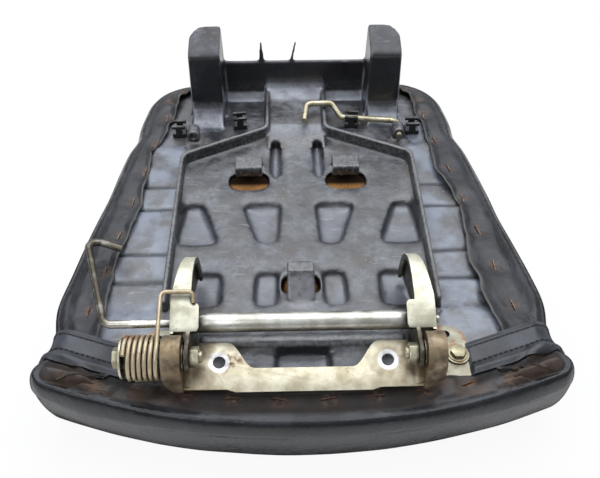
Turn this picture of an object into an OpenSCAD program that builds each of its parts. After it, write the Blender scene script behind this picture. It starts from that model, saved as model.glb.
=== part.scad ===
// Hinged saddle of a small motorcycle, lying on its cushion with the underside up.
// X runs across the saddle, Y from the hinge end to the nose, Z up from the crown of the cushion.

/* [Cushion and cover] */
// Length from the rolled hinge end to the nose
seat_length = 422; // [414:1:440]
// Width across the corners of the rolled end
seat_width = 406; // [398:1:412]
// Width across the corners of the nose
nose_width = 302; // [296:1:310]
// Radius of the corners of the rolled end
end_corner_r = 22; // [20:1:26]
// Distance from the rolled end to the centres of its corners
end_shoulder = 55; // [50:1:60]
// Radius of the corners of the nose
nose_corner_r = 51; // [46:1:58]
// How far the nose edge bows out between its corners
nose_bow = 4; // [3:1:8]
// Height of the base deck over the crown of the cushion
deck_z = 62; // [58:1:70]
// Rise of the crown from its flat to the edge
crown_rise = 9; // [6:1:13]
// Depth by which the cushion tucks in below its sides
belly_tuck = 19; // [13:1:20]
// Height of the widest line of the cushion below the deck
belly_drop = 8; // [6:1:12]
// Radius of the rolled top edge
roll_r = 9; // [6:1:10]
// Depth of the gather beside each corner of the rolled end
notch_in = 11; // [4:1:12]
// Distance from the rolled end to that gather
notch_at = 77; // [74:1:82]
// Length of that gather along the side
notch_l = 27; // [20:1:30]
// Height of the lip of the rolled end over its flap
lip_h = 5; // [3:0.5:6]
// Depth of the dent in each side below the nose
dent_in = 2.5; // [0:0.5:4]
// Distance from the nose to that dent
dent_at = 96; // [90:1:104]
// Thickness of the vinyl cover
cover_t = 1.8; // [1.2:0.1:2.2]
// Slack between the cover and what it wraps
cover_fit = 0.2; // [0.1:0.05:0.3]
// Slack between the cover and the sides of the foam
foam_slack = 1; // [0.8:0.1:1.4]

/* [Cover flap and staples] */
// Width of the flap folded over the sides
flap_side = 42; // [36:1:46]
// Width of the flap folded over the rolled end
flap_end = 28; // [24:1:30]
// Width of the flap folded over the nose
flap_nose = 20; // [17:1:21]
// Width of the flap folded over the sides of the nose
flap_nose_side = 33; // [30:1:35]
// Radius of the flap corners at the rolled end
flap_end_r = 30; // [24:1:34]
// Distance from the rolled end to the centres of those corners
flap_shoulder = 69; // [65:1:73]
// Radius of the flap corners at the nose
flap_nose_r = 22; // [18:1:26]
// Staples down each side
side_staples = 7; // [4:1:9]
// Staples along the rolled end
end_staples = 8; // [4:1:10]
// Length of a staple crown
staple_w = 11; // [8:1:13]
// Width and thickness of the staple wire
staple_wire = 1.2; // [0.8:0.1:1.6]
// Depth of the staple legs
staple_leg = 4; // [3:0.5:4.5]
// Width of the stitched band at each corner
band_w = 20; // [14:1:24]
// Clearance between that band and the foot plate
band_gap = 1; // [0.5:0.5:3]

/* [Base pan] */
// Wall thickness of the moulding
pan_t = 3; // [2.5:0.1:3.5]
// Gap between the edge of the pan and the widest line of the cover
pan_inset = 9.4; // [8.8:0.2:12]
// Thickness of the tray walls
rib_t = 4; // [3:0.5:5]
// Height of the tray walls over the deck
rib_h = 14; // [10:1:15]
// Width of the tray at its nose corners
tray_nose_w = 212; // [204:1:216]
// Width of the tray at its open end
tray_end_w = 212; // [206:1:216]
// Distance from the rolled end to the open end of the tray walls
tray_end_in = 105; // [97:1:115]
// Distance from the nose to the nose corners of the tray
tray_corner_in = 137; // [131:1:143]
// Distance from the nose to where the slanted walls meet the spine
tray_top_in = 97; // [93:1:105]
// Bend radius of the tray walls
tray_r = 10; // [4:1:14]
// Width of the raised spine
spine_w = 56; // [50:1:60]
// Height of the spine over the deck
spine_h = 8; // [5:1:9]
// Depth of the moulded pockets
pocket_h = 8; // [5:1:12]
// Corner radius of the pockets
pocket_r = 4; // [2:0.5:5]
// Width of the two nose windows
window_w = 32; // [26:1:34]
// Length of the two nose windows
window_l = 18; // [14:1:22]
// Distance between the middles of the nose windows
window_pitch = 89; // [84:1:94]
// Distance from the nose to the middle of the nose windows
window_in = 161; // [157:1:165]
// Depth of the grooves across the side decks
groove_d = 1.2; // [0.6:0.2:1.6]
// Width of those grooves
groove_w = 4; // [2:0.5:6]

/* [Nose horns] */
// Width of a horn at its foot
horn_w = 34; // [30:1:36]
// Distance between the middles of the horns
horn_pitch = 173; // [168:1:176]
// Depth of a horn from front to back
horn_l = 42; // [34:1:44]
// Distance from the nose to the front face of the horns
horn_in = 63; // [61:1:67]
// Height of a horn over the deck at its front edge
horn_front_h = 71; // [60:1:78]
// Height of a horn over the deck at its back
horn_back_h = 83; // [72:1:90]
// Amount by which a horn narrows towards its top
horn_taper = 5; // [2:1:8]
// Radius of the fillet at the foot of a horn
horn_fillet = 26; // [8:1:28]
// Height of the wall between the horns
crossbar_h = 40; // [32:1:46]
// Distance from the nose to the wall between the horns
crossbar_in = 29; // [27:1:33]
// Height of the two pointed fins over that wall
fin_h = 24; // [12:1:28]

/* [Hinge] */
// Height of the pivot axis over the deck
pivot_h = 31; // [30:1:34]
// Distance from the rolled end to the pivot axis
pivot_in = 40; // [38:1:41]
// Diameter of the pivot bolts
bolt_d = 8; // [6:0.5:8]
// Running clearance of a pin in its hole, on the radius
run_fit = 0.05; // [0.03:0.01:0.09]
// Thickness of the pressed steel
steel_t = 2.5; // [2:0.1:3]
// Width over the cheeks of a hinge arm
arm_w = 14; // [13:1:16]
// Distance between the inner cheeks of the two arms
arm_gap = 158; // [154:1:162]
// Angle by which the outer cheek of an arm leans in past the cross tube
arm_lean = 7; // [3:0.5:7]
// Height of the arch of an arm over the deck
arch_h = 53; // [50:1:58]
// Distance from the pivot axis to the top of the arch
arch_dy = 57; // [53:1:61]
// Reach of the arch towards the nose
arch_nose = 45; // [38:1:50]
// Reach of the arch towards the pivot
arch_pivot = 64; // [60:1:68]
// Radius of the arm end round the pivot
arm_end_r = 11; // [9:0.5:12]
// Width of the foot plate beyond the arm
foot_w = 29; // [27:1:31]
// Length of the foot plate
foot_l = 46; // [40:1:48]
// Distance from the pivot to the foot bolt
foot_bolt_dy = 18; // [16:1:22]
// Diameter of the foot bolts
foot_bolt_d = 6; // [5:0.5:7]
// Outside diameter of the foot bolt washers
foot_washer_d = 17; // [15:0.5:18]

/* [Hinge base] */
// Distance between the two mounting holes
hole_pitch = 120; // [112:1:124]
// Diameter of the mounting holes
hole_d = 9; // [7:0.5:10]
// Drop from the pivot axis to the top of the plate
plate_drop = 17; // [16:0.5:18]
// Slope of the plate as the saddle lies
plate_tilt = 20; // [16:1:24]
// Reach of the plate away from the arms
plate_out = 21; // [19:0.5:23]
// Reach of the plate towards the arms, at the holes
plate_in = 15; // [13:0.5:16]
// Width of the narrow middle of the plate
waist_w = 17; // [12:0.5:20]
// Radius of the ears round the pivot
ear_r = 15; // [13:0.5:16]
// Width of the turned rim of the ears
rim_w = 10.5; // [8:0.5:12]
// Length of the bush between an arm and its thrust washer
bush_l = 1.4; // [1:0.1:2]
// Thickness of the washers between ears and arms
thrust_t = 1.2; // [0.8:0.1:1.6]

/* [Torsion spring] */
// Outside diameter of the coil
coil_d = 32; // [30:0.5:33]
// Diameter of the spring wire
wire_d = 3.2; // [2.6:0.1:3.4]
// Gap between neighbouring turns
turn_gap = 0.5; // [0.45:0.05:0.7]
// Number of turns
turns = 6; // [4:0.5:6.5]

/* [Lever rod and stay wire] */
// Outside diameter of the cross tube
tube_d = 14; // [12:0.5:15]
// Diameter of the lever rod
rod_d = 6; // [5:0.5:7]
// Distance from the pivot axis to the cross tube
tube_dy = 28; // [26:1:31]
// Height of the cross tube over the deck
tube_h = 33; // [30:1:35]
// Length of the lever along the saddle
lever_l = 99; // [84:1:104]
// Outward lean of the lever
lever_lean = 31; // [20:1:34]
// Drop of the lever end below the cross tube
lever_drop = 11; // [4:1:14]
// Diameter of the stay wire
stay_d = 6; // [5:0.5:6.5]
// Height of the stay wire over the deck where it is clipped
stay_h = 8; // [7:0.5:9]
// Length of the eye that the stay wire turns in
eye_l = 14; // [10:1:16]
// Distance of that eye from the middle
eye_x = 99; // [96:1:101]
// Distance from the nose to the open end of that eye
eye_in = 105; // [103:1:107]
// Height of the cranked end of the stay wire over its clipped part
stay_rise = 10; // [9:0.5:13]

/* [Hidden] */
$fn = 48;
eps = 0.01;

y_end = -seat_length / 2;
y_nose = seat_length / 2;
pivot_y = y_end + pivot_in;
tube_y = pivot_y + tube_dy;
arch_y = pivot_y + arch_dy;
tray_end_y = y_end + tray_end_in;
tray_corner_y = y_nose - tray_corner_in;
tray_top_y = y_nose - tray_top_in;
window_y = y_nose - window_in;
horn_y = y_nose - horn_in;
crossbar_y = y_nose - crossbar_in;
eye_y = y_nose - eye_in;
deck_under = deck_z - pan_t;
flap_top = deck_z + cover_fit + cover_t;
belly_z = deck_z - belly_drop;
crown_flat = 0.45;
pivot_z = deck_z + pivot_h;
tube_z = deck_z + tube_h;
arm_in = arm_gap / 2;
arm_out = arm_in + arm_w;
bush_end = arm_in + steel_t + bush_l;
ear_in = bush_end + thrust_t;
ear_out = ear_in + steel_t;
rim_out = ear_in + steel_t + rim_w;
foot_x = arm_out + foot_w - foot_washer_d / 2;
foot_y = pivot_y + foot_bolt_dy;
foot_top = deck_z + steel_t;
coil_r = (coil_d - wire_d) / 2;
turn_pitch = wire_d + turn_gap;
coil_gap = 1;
coil_in = rim_out + coil_gap + wire_d / 2;
sleeve_end = coil_in + turns * turn_pitch + wire_d / 2 + turn_gap;
nut_t = 6.5;
nut_af = 13;
hex_r = nut_af / sqrt(3);
head_t = 5.5;
washer_t = 1.6;
insert_wall = 2;
insert_r = foot_bolt_d / 2 + insert_wall;
insert_l = 9;
side_cuts = [0.04, 0.08, 0.13, 0.2, 0.5, 0.81, 0.86, 0.91];
lip_l = 30;
dent_l = 14;

// Rounded outlines: each is a belt round a list of circles [x, y, r] in anticlockwise order.
function belt_angle(a, b) =
  let (d = [b.x - a.x, b.y - a.y], k = (a.z - b.z) / norm(d))
  atan2(d.y, d.x) - 90 + asin(max(-1, min(1, k)));
function belt_arc(c, i, grow, n) =
  let (m = len(c), from = belt_angle(c[(i + m - 1) % m], c[i]), to = belt_angle(c[i], c[(i + 1) % m]))
  let (turn = ((to - from) % 360 + 360) % 360, sweep = turn > 359 ? 0 : turn)
  [for (k = [0:n]) let (t = from + sweep * k / n) [c[i].x, c[i].y] + (c[i].z + grow) * [cos(t), sin(t)]];
function belt(c, grow = 0, n = 5) = [for (i = [0:len(c) - 1]) each belt_arc(c, i, grow, n)];
function mirrored(c) = [for (i = [len(c) - 1:-1:0]) [-c[i].x, c[i].y, c[i].z]];
function mix(a, b, t) = a + (b - a) * t;
function unit(v) = v / norm(v);

// Corners rounded by arcs, in the plane or in space.
function corner_arc(a, b, c, r, n = 5) =
  let (u = unit(a - b), v = unit(c - b), half = acos(max(-1, min(1, u * v))) / 2, turn = 180 - 2 * half)
  let (m = b + unit(u + v) * r / sin(half), s = b + u * r / tan(half) - m, e = b + v * r / tan(half) - m)
  [for (k = [0:n]) let (t = turn * k / n) m + (sin(turn - t) * s + sin(t) * e) / sin(turn)];
function rounded(p, r) =
  let (m = len(p)) [for (i = [0:m - 1]) each corner_arc(p[(i + m - 1) % m], p[i], p[(i + 1) % m], r)];
function bent(p, r) =
  let (m = len(p), turns = [for (i = [1:m - 2]) each corner_arc(p[i - 1], p[i], p[i + 1], r)])
  concat([p[0]], turns, [p[m - 1]]);

// A strip of thickness t along a line of points, its corners rounded by r.
function square_to(a, b) = let (u = unit(b - a)) [-u.y, u.x];
function shifted(p, d) = let (m = len(p) - 1) [for (i = [0:m])
  let (a = square_to(p[max(i - 1, 0)], p[max(i, 1)]), b = square_to(p[min(i, m - 1)], p[min(i + 1, m)]))
  p[i] + d * (a + b) / (1 + a * b)];
function ribbon(p, t, r) = concat(bent(shifted(p, t / 2), r), flipped(bent(shifted(p, -t / 2), r)));

// Plan of the cushion and of the inner edge of the cover flap.
function plan(half_end, half_nose, y_end, y_nose, r_end, r_nose, shoulder, bow) =
  let (ex = half_end - r_end, nx = half_nose - r_nose, ny = y_nose - bow - r_nose, nh = bow + r_nose)
  let (end_arc = (ex * ex + shoulder * shoulder - r_end * r_end) / (2 * (shoulder - r_end)))
  let (nose_arc = (nx * nx + nh * nh - r_nose * r_nose) / (2 * bow))
  [[0, y_end + end_arc, end_arc], [ex, y_end + shoulder, r_end], [nx, ny, r_nose],
   [0, y_nose - nose_arc, nose_arc], [-nx, ny, r_nose], [-ex, y_end + shoulder, r_end]];
cushion_plan = plan(seat_width / 2, nose_width / 2, y_end, y_nose,
  end_corner_r, nose_corner_r, end_shoulder, nose_bow);
flap_plan = plan(seat_width / 2 - flap_side, nose_width / 2 - flap_nose_side,
  y_end + flap_end, y_nose - flap_nose,
  flap_end_r, flap_nose_r, flap_shoulder - flap_end, nose_bow / 4);

function middle(p) = [for (i = [1:len(p) - 2]) p[i]];
function flipped(p) = [for (i = [len(p) - 1:-1:0]) p[i]];
function side_run(a, b) = [for (t = side_cuts) mix(a, b, t)];
function ring(c, grow) =
  let (r1 = belt_arc(c, 1, grow, 4), r2 = belt_arc(c, 2, grow, 4))
  let (l1 = belt_arc(c, 4, grow, 4), l2 = belt_arc(c, 5, grow, 4))
  concat(middle(belt_arc(c, 0, grow, 9)), r1, side_run(r1[4], r2[0]), r2,
    middle(belt_arc(c, 3, grow, 8)), l1, flipped(side_run(l2[0], l1[4])), l2);
function bump(y, at, l) = exp(-pow((y - at) / l, 2));
function gathered(p, share) =
  let (notch = notch_in * bump(p.y, y_end + notch_at, notch_l))
  let (dent = dent_in * bump(p.y, y_nose - dent_at, dent_l))
  [p.x - sign(p.x) * share * (notch + dent), p.y];
function cushion_ring(grow, share = 1) = [for (p = ring(cushion_plan, grow)) gathered(p, share)];
function lipped(l, share) = [for (p = l) [p.x, p.y, p.z + share * lip_h * bump(p.y, y_end, lip_l)]];
function lifted(p, z, s = 1) = [for (q = p) [q.x * s, q.y * s, z]];

// Level lines of the cushion from its flat crown to the widest line, drawn in by a skin of thickness t.
function crown_lines(t) = [for (s = [crown_flat, 0.72, 0.88]) let (u = (s - crown_flat) / (1 - crown_flat))
  lifted(cushion_ring(-belly_tuck, 0), crown_rise * u * u + t, s)];
function belly_lines(t) = [for (a = [0:22.5:90])
  lifted(cushion_ring(-belly_tuck * (1 - sin(a)) - t * sin(a), pow(sin(a), 2)),
    crown_rise + (belly_z - crown_rise) * (1 - cos(a)) + t * cos(a))];
function roll_lines(t) = [for (a = [30:30:90])
  lipped(lifted(cushion_ring(-roll_r * (1 - cos(a)) - t * cos(a)),
    belly_z + (flap_top - belly_z) * sin(a) - t * sin(a)), pow(sin(a), 2))];
function skin_lines(t) =
  concat(crown_lines(t), belly_lines(t), roll_lines(t), [lifted(ring(flap_plan, 0), flap_top - t)]);

// A closed solid through level lines that have the same number of points.
module loft(lines) {
  n = len(lines[0]);
  last = (len(lines) - 1) * n;
  walls = [for (i = [0:len(lines) - 2]) for (j = [0:n - 1])
    let (a = i * n + j, d = i * n + (j + 1) % n) each [[a, a + n, d + n], [a, d + n, d]]];
  caps = [[for (j = [0:n - 1]) j], [for (j = [n - 1:-1:0]) last + j]];
  polyhedron([for (l = lines) each l], concat(walls, caps), convexity = 8);
}

// Prisms along X and Y, pins along X and Y.
module along_x(x0, x1) {
  translate([x0, 0, 0]) rotate([90, 0, 90]) linear_extrude(x1 - x0) children();
}
module along_y(y0, y1) {
  translate([0, y1, 0]) rotate([90, 0, 0]) linear_extrude(y1 - y0) children();
}
module upright(z0, z1) {
  translate([0, 0, z0]) linear_extrude(z1 - z0) children();
}
module pin_x(r, x0, x1, y, z) {
  translate([x0, y, z]) rotate([0, 90, 0]) cylinder(r = r, h = x1 - x0);
}
module hex_x(x0, x1, y, z) {
  translate([x0, y, z]) rotate([0, 90, 0]) cylinder(r = hex_r, h = x1 - x0, $fn = 6);
}
module both_sides() {
  children();
  mirror([1, 0, 0]) children();
}

// Level lines of a round tube swept along points.
function tangent(p, i) = unit(p[min(i + 1, len(p) - 1)] - p[max(i - 1, 0)]);
function frames(p, i, up) = i == len(p) ? [] :
  let (t = tangent(p, i), u = unit(up - t * (t * up))) concat([[u, cross(t, u)]], frames(p, i + 1, u));
function tube_lines(p, d, sides) = let (f = frames(p, 0, [0, 0, 1]))
  [for (i = [0:len(p) - 1]) [for (k = [0:sides - 1]) let (a = 360 * k / sides)
    p[i] + d / 2 * (cos(a) * f[i][0] + sin(a) * f[i][1])]];

// Base pan: one dark moulding with its tray, pockets, windows, horns and wire eyes.
tray_mid = (tray_end_y + tray_corner_y) / 2;
tray_edge = tray_nose_w / 2;
nose_row = [window_y + 10, window_y + 51];
mid_row = [tray_mid - 9, tray_mid + 32];
open_row = [tray_end_y + 12, tray_end_y + 39];
end_row = [pivot_y + 4, pivot_y + 24];
function pocket(row, near, far) = [[near[0], row[0], pocket_r], [near[1], row[0], pocket_r],
  [far[1], row[1], pocket_r], [far[0], row[1], pocket_r]];
half_pockets = [[[20, nose_row[0], pocket_r], [20, nose_row[1], pocket_r]],
  pocket(mid_row, [tray_edge - 32, tray_edge - 5], [tray_edge - 18, tray_edge - 10]),
  pocket(mid_row, [22, 32], [20, 44]),
  pocket(open_row, [68, 86], [68, 82]),
  pocket(open_row, [23, 33], [22, 32]),
  pocket(end_row, [57, 66], [57, 66])];
pockets = concat(half_pockets, [for (p = half_pockets) mirrored(p)], [pocket(end_row, [-16, 16], [-16, 16])]);
groove_at = [32, 63, 118, 148];
groove_rows = [for (d = groove_at) tray_end_y + d];
groove_l = 70;
tongue_w = 25;
tongue_rise = 13;
tongue_root = 13;
tongue_lap = 7;
tongue_lip = 11;
slot_w = 30;
slot_l = 16;
slot_y = tray_end_y + 28;
slot_rim_h = 2;
slot_rim_l = 18;
ramp_w = 22;
ramp_foot = slot_y - slot_l / 2 - 14;
ramp_run = 20;
ramp_rise = 18;
ramp_flat = 11;
ridge_r = 7;
ridge_y = pivot_y + 34;
ridge_l = 150;
boss_r = insert_r + pan_t;
eye_r = stay_d / 2 + pan_t;
stay_z = deck_z + stay_h;

module tray_half() {
  path = [[tray_end_w / 2, tray_end_y], [tray_nose_w / 2, tray_corner_y],
    [spine_w / 2, tray_top_y], [spine_w / 2, crossbar_y + rib_t / 2]];
  upright(deck_under + eps, deck_z + rib_h) polygon(ribbon(path, rib_t, tray_r));
}
module pocket_cups() {
  for (p = pockets) upright(deck_z - pocket_h - pan_t, deck_z - eps) polygon(belt(p, pan_t, 3));
}
module pocket_hollows() {
  for (p = pockets) upright(deck_z - pocket_h, deck_z + spine_h + 1) polygon(belt(p, 0, 3));
}
module nose_window(x) {
  translate([x - window_w / 2, window_y - window_l / 2, deck_under - 1])
    cube([window_w, window_l, pan_t + 2]);
}
module window_tongue(x) {
  root = window_y + window_l / 2 + tongue_root;
  tip = window_y + window_l / 2 - tongue_lap;
  top = deck_z + tongue_rise;
  along_x(x - tongue_w / 2, x + tongue_w / 2) polygon([[root, deck_under + 1], [root, top - pan_t],
    [root - pan_t, top], [tip + 1, top], [tip, top - 1], [tip, top - tongue_lip],
    [tip + pan_t, top - tongue_lip], [tip + pan_t, top - pan_t],
    [root - pan_t, top - pan_t], [root - pan_t, deck_under + 1]]);
}
module slot_ramp() {
  brow = ramp_foot + ramp_run;
  top = deck_z + ramp_rise;
  along_x(-ramp_w / 2, ramp_w / 2) polygon([[ramp_foot, deck_z - 1], [ramp_foot + 2 * pan_t, deck_z - 1],
    [brow + 1, top - pan_t], [brow + ramp_flat, top - pan_t], [brow + ramp_flat, top], [brow, top]]);
}
module slot_rim() {
  arch = [[0, slot_y, slot_w / 2 + 1], [0, slot_y - slot_rim_l, slot_w / 2 + 1]];
  upright(deck_under + 1, deck_z + slot_rim_h) difference() {
    polygon(belt(arch, pan_t, 16));
    polygon(belt(arch, 0, 16));
    translate([-slot_w, slot_y - 2 * slot_w - slot_l / 2]) square(2 * slot_w);
  }
}
horn_edge_r = 7;
horn_corner_r = 4;
horn_back_r = 28;
module horn_side(inset) {
  front = horn_y + inset;
  back = horn_y + horn_l - inset;
  low = deck_z + horn_front_h - inset;
  high = deck_z + horn_back_h - inset;
  root = deck_z - horn_in;
  cap = rounded([[front, root], [back, root], [back, high], [front, low]], horn_edge_r - inset / 2);
  along_x(0, seat_width / 2) polygon(cap);
}
module horn_front(inset) {
  half = horn_w / 2 - inset;
  slim = half - horn_taper / 2;
  top = deck_z + horn_back_h + horn_edge_r;
  along_y(horn_y - 1, horn_y + horn_l + 1) polygon([[horn_pitch / 2 - half, deck_under],
    [horn_pitch / 2 + half, deck_under], [horn_pitch / 2 + slim, top], [horn_pitch / 2 - slim, top]]);
}
module horn_plan(inset) {
  r = horn_corner_r;
  big = horn_back_r;
  x0 = horn_pitch / 2 - horn_w / 2 + r;
  x1 = horn_pitch / 2 + horn_w / 2;
  y0 = horn_y + r;
  y1 = horn_y + horn_l;
  corners = [[x0, y0, r], [x1 - r, y0, r], [x1 - big, y1 - big, big], [x0, y1 - r, r]];
  upright(deck_under + eps, deck_z + horn_back_h + horn_edge_r) polygon(belt(corners, -inset));
}
module horn_block(inset) {
  intersection() {
    horn_side(inset);
    horn_front(inset);
    horn_plan(inset);
  }
}
module horn() {
  difference() {
    union() {
      horn_block(0);
      horn_foot();
    }
    translate([0, pan_t * 2, -pan_t]) horn_block(pan_t);
  }
}
module horn_foot() {
  r = horn_fillet;
  arc = [for (a = [0:15:90]) [horn_y - r + r * sin(a) + 1, deck_z + r - r * cos(a)]];
  half = horn_w / 2 - 2;
  root = horn_y + 2;
  along_x(horn_pitch / 2 - half, horn_pitch / 2 + half)
    polygon(concat(arc, [[root, deck_z + r], [root, deck_under + 1], [horn_y - r, deck_under + 1]]));
}
module crossbar() {
  half = (horn_pitch - horn_w) / 2 + horn_taper;
  top = deck_z + crossbar_h;
  along_x(-half, half) {
    polygon([[crossbar_y, deck_under + eps], [crossbar_y + rib_t, deck_under + eps],
      [crossbar_y + rib_t, top], [crossbar_y, top]]);
    translate([crossbar_y + rib_t / 2, top]) circle(d = rib_t + 1);
    polygon([[crossbar_y - gusset, deck_z - 1], [crossbar_y + 1, deck_z - 1],
      [crossbar_y + 1, deck_z + gusset + 1]]);
  }
}
// A fin is [place along the wall, lean of its point, half width of its root].
gusset = 8;
fins = [[-33, -0.5, 5], [-3, 4, 3]];
fin_root = 8;
fin_neck = 4;
fin_point = 1.1;
module fin(place, lean, half) {
  y0 = crossbar_y + rib_t / 8;
  top = deck_z + crossbar_h;
  translate([place, 0, 0]) along_y(y0, y0 + pan_t) polygon([[-half, top - fin_root], [half, top - fin_root],
    [half / 2, top + fin_neck], [lean + fin_point, top + fin_h], [lean - fin_point, top + fin_h],
    [-half / 2, top + fin_neck]]);
}
// The spine climbs out of the tray floor and sweeps up the wall between the horns.
spine_lap = 30;
spine_flat = 10;
spine_hollow_lap = 4;
scoop_r = 22;
spine_top = deck_z + spine_h;
spine_line = concat([[tray_top_y - spine_lap, deck_z], [tray_top_y + spine_flat, spine_top]],
  [for (a = [0:15:90]) [crossbar_y - scoop_r * (1 - sin(a)), spine_top + scoop_r * (1 - cos(a))]]);
module spine() {
  end = crossbar_y + 1;
  along_x(-spine_w / 2, spine_w / 2) polygon(concat(spine_line,
    [[end, spine_top + scoop_r], [end, deck_under + eps], [tray_top_y - spine_lap, deck_under + eps]]));
}
module spine_hollow() {
  half = spine_w / 2 - 2 * pan_t;
  from = tray_top_y - spine_hollow_lap;
  rise = spine_h * (spine_lap - spine_hollow_lap) / (spine_lap + spine_flat);
  to = crossbar_y - scoop_r;
  ceiling = spine_top - pan_t;
  along_x(-half, half) polygon([[from, deck_under - 1], [from, deck_under + rise],
    [tray_top_y + spine_flat, ceiling], [to, ceiling], [to, deck_under - 1]]);
}
module wire_eye() {
  translate([eye_x, eye_y, stay_z]) rotate([-90, 0, 0]) cylinder(r = eye_r, h = eye_l);
  translate([eye_x - eye_r + 1, eye_y + 1, deck_under + 1])
    cube([2 * eye_r - 2, eye_l - 2, stay_h + pan_t - 1]);
}
module side_grooves() {
  for (y = groove_rows) both_sides()
    translate([tray_end_w / 2 + rib_t, y - groove_w / 2, deck_z - groove_d])
      cube([groove_l, groove_w, groove_d + 1]);
}
module seat_pan() color("#34363a") difference() {
  union() {
    upright(deck_under, deck_z) polygon(cushion_ring(-pan_inset));
    pocket_cups();
    spine();
    crossbar();
    both_sides() {
      tray_half();
      horn();
      wire_eye();
      translate([foot_x, foot_y, deck_z - insert_l - pan_t]) cylinder(r = boss_r, h = insert_l + pan_t - eps);
    }
    intersection() {
      pin_x(ridge_r, -ridge_l / 2, ridge_l / 2, ridge_y, deck_z - 1);
      translate([-ridge_l, ridge_y - 2 * ridge_r, deck_under + 1])
        cube([2 * ridge_l, 4 * ridge_r, 4 * ridge_r]);
    }
    for (f = fins) fin(f[0], f[1], f[2]);
    slot_rim();
    slot_ramp();
    window_tongue(window_pitch / 2);
    window_tongue(-window_pitch / 2);
  }
  pocket_hollows();
  spine_hollow();
  side_grooves();
  translate([-slot_w / 2, slot_y - slot_l / 2, deck_under - 1]) cube([slot_w, slot_l, pan_t + 2]);
  both_sides() {
    nose_window(window_pitch / 2);
    translate([eye_x, eye_y - 1, stay_z]) rotate([-90, 0, 0])
      cylinder(r = stay_d / 2 + run_fit, h = eye_l + 2);
    translate([foot_x, foot_y, deck_z - insert_l]) cylinder(r = insert_r + cover_fit / 2, h = insert_l + 1);
  }
}

// Moulded foam: a crowned block under the pan, sunk round its pockets and bosses.
module foam_cushion() color("#b8763a") {
  skin = cover_t + foam_slack;
  top = deck_under - cover_fit;
  cup_z = deck_z - pocket_h - pan_t - cover_fit;
  difference() {
    loft(concat(crown_lines(skin), belly_lines(skin), [lifted(cushion_ring(-pan_inset), top)]));
    for (p = pockets) upright(cup_z, top + 1) polygon(belt(p, pan_t + cover_fit, 3));
    both_sides() translate([foot_x, foot_y, deck_z - insert_l - pan_t - cover_fit])
      cylinder(r = boss_r + cover_fit, h = insert_l);
  }
}

// Vinyl cover: one skin over the foam, rolled over the edge of the pan and folded flat onto its deck.
module seat_cover() color("#26282d") loft(concat(skin_lines(0), flipped(skin_lines(cover_t))));

// Stitched band that closes the gather beside a corner of the rolled end.
band_rise = 4;
band_end = 2;
module corner_band(side) {
  inner = arm_out + foot_w + band_gap;
  outer = seat_width / 2 - roll_r - notch_in - band_end;
  y = y_end + notch_at;
  strip = [[inner, y - band_w], [outer, y - band_w + band_rise],
    [outer, y + band_end], [inner, y - band_rise]];
  outline = [for (p = strip) [side * p.x, p.y]];
  upright(flap_top + cover_fit, flap_top + cover_fit + cover_t) polygon(rounded(outline, 2));
}
module corner_band_left() color("#2b2d32") corner_band(-1);
module corner_band_right() color("#2b2d32") corner_band(1);

// Staples through the flap into the deck.
module staple(p, along) {
  translate([p.x, p.y, flap_top]) rotate(along) {
    translate([-staple_w / 2, -staple_wire / 2, eps]) cube([staple_w, staple_wire, staple_wire * 0.7]);
    for (x = [-staple_w / 2, staple_w / 2 - staple_wire])
      translate([x, -staple_wire / 2, -staple_leg]) cube([staple_wire, staple_wire, staple_leg + 2 * eps]);
  }
}
staple_in = 0.72;
module staples() color("#9a5a2c") {
  outer = belt_arc(cushion_plan, 1, -roll_r, 1);
  inner = belt_arc(flap_plan, 1, 0, 1);
  outer_nose = belt_arc(cushion_plan, 2, -roll_r, 1);
  inner_nose = belt_arc(flap_plan, 2, 0, 1);
  a = mix(outer[1], inner[1], staple_in);
  b = mix(outer_nose[0], inner_nose[0], staple_in);
  run = atan2(b.y - a.y, b.x - a.x);
  both_sides() for (i = [0:side_staples - 1]) staple(mix(a, b, mix(0.12, 0.92, i / (side_staples - 1))), run);
  end_out = belt_arc(cushion_plan, 0, -roll_r, end_staples + 1);
  end_in = belt_arc(flap_plan, 0, 0, end_staples + 1);
  for (i = [1:end_staples]) {
    p = mix(end_out[i], end_in[i], staple_in);
    staple(p, 90 + atan2(p.y - cushion_plan[0].y, p.x));
  }
}

// Hinge arm: a pressed channel that arches over the deck, with a foot plate beside it.
function arch(grow, from, to, n) = [for (k = [0:n]) let (t = mix(from, to, k / n))
  [arch_y + ((t < 90 ? arch_nose : arch_pivot) + grow) * cos(t), deck_z + (arch_h + grow) * sin(t)]];
web_end = 131;
tab_w = 6;
tab_from = 112;
tab_r = 3;
cheek_lip = 4;
cheek_to = 105;
heel_dy = 21;
heel_h = 8;
toe_dy = 27;
foot_r = 3;
foot_far_r = 14;
bolt_slack = 0.6;
spare_dx = 6;
spare_dy = 20;
arch_steps = 32;
lean_y = tube_y + 8;
rim_gap = 1.2;
module cheek() {
  lobe = [for (a = [60:11.5:290]) [pivot_y, pivot_z] + arm_end_r * [cos(a), sin(a)]];
  heel = [[pivot_y + heel_dy, deck_z + heel_h], [pivot_y + toe_dy, deck_z]];
  polygon(concat(arch(0, 0, web_end, arch_steps), lobe, heel));
}
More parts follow.
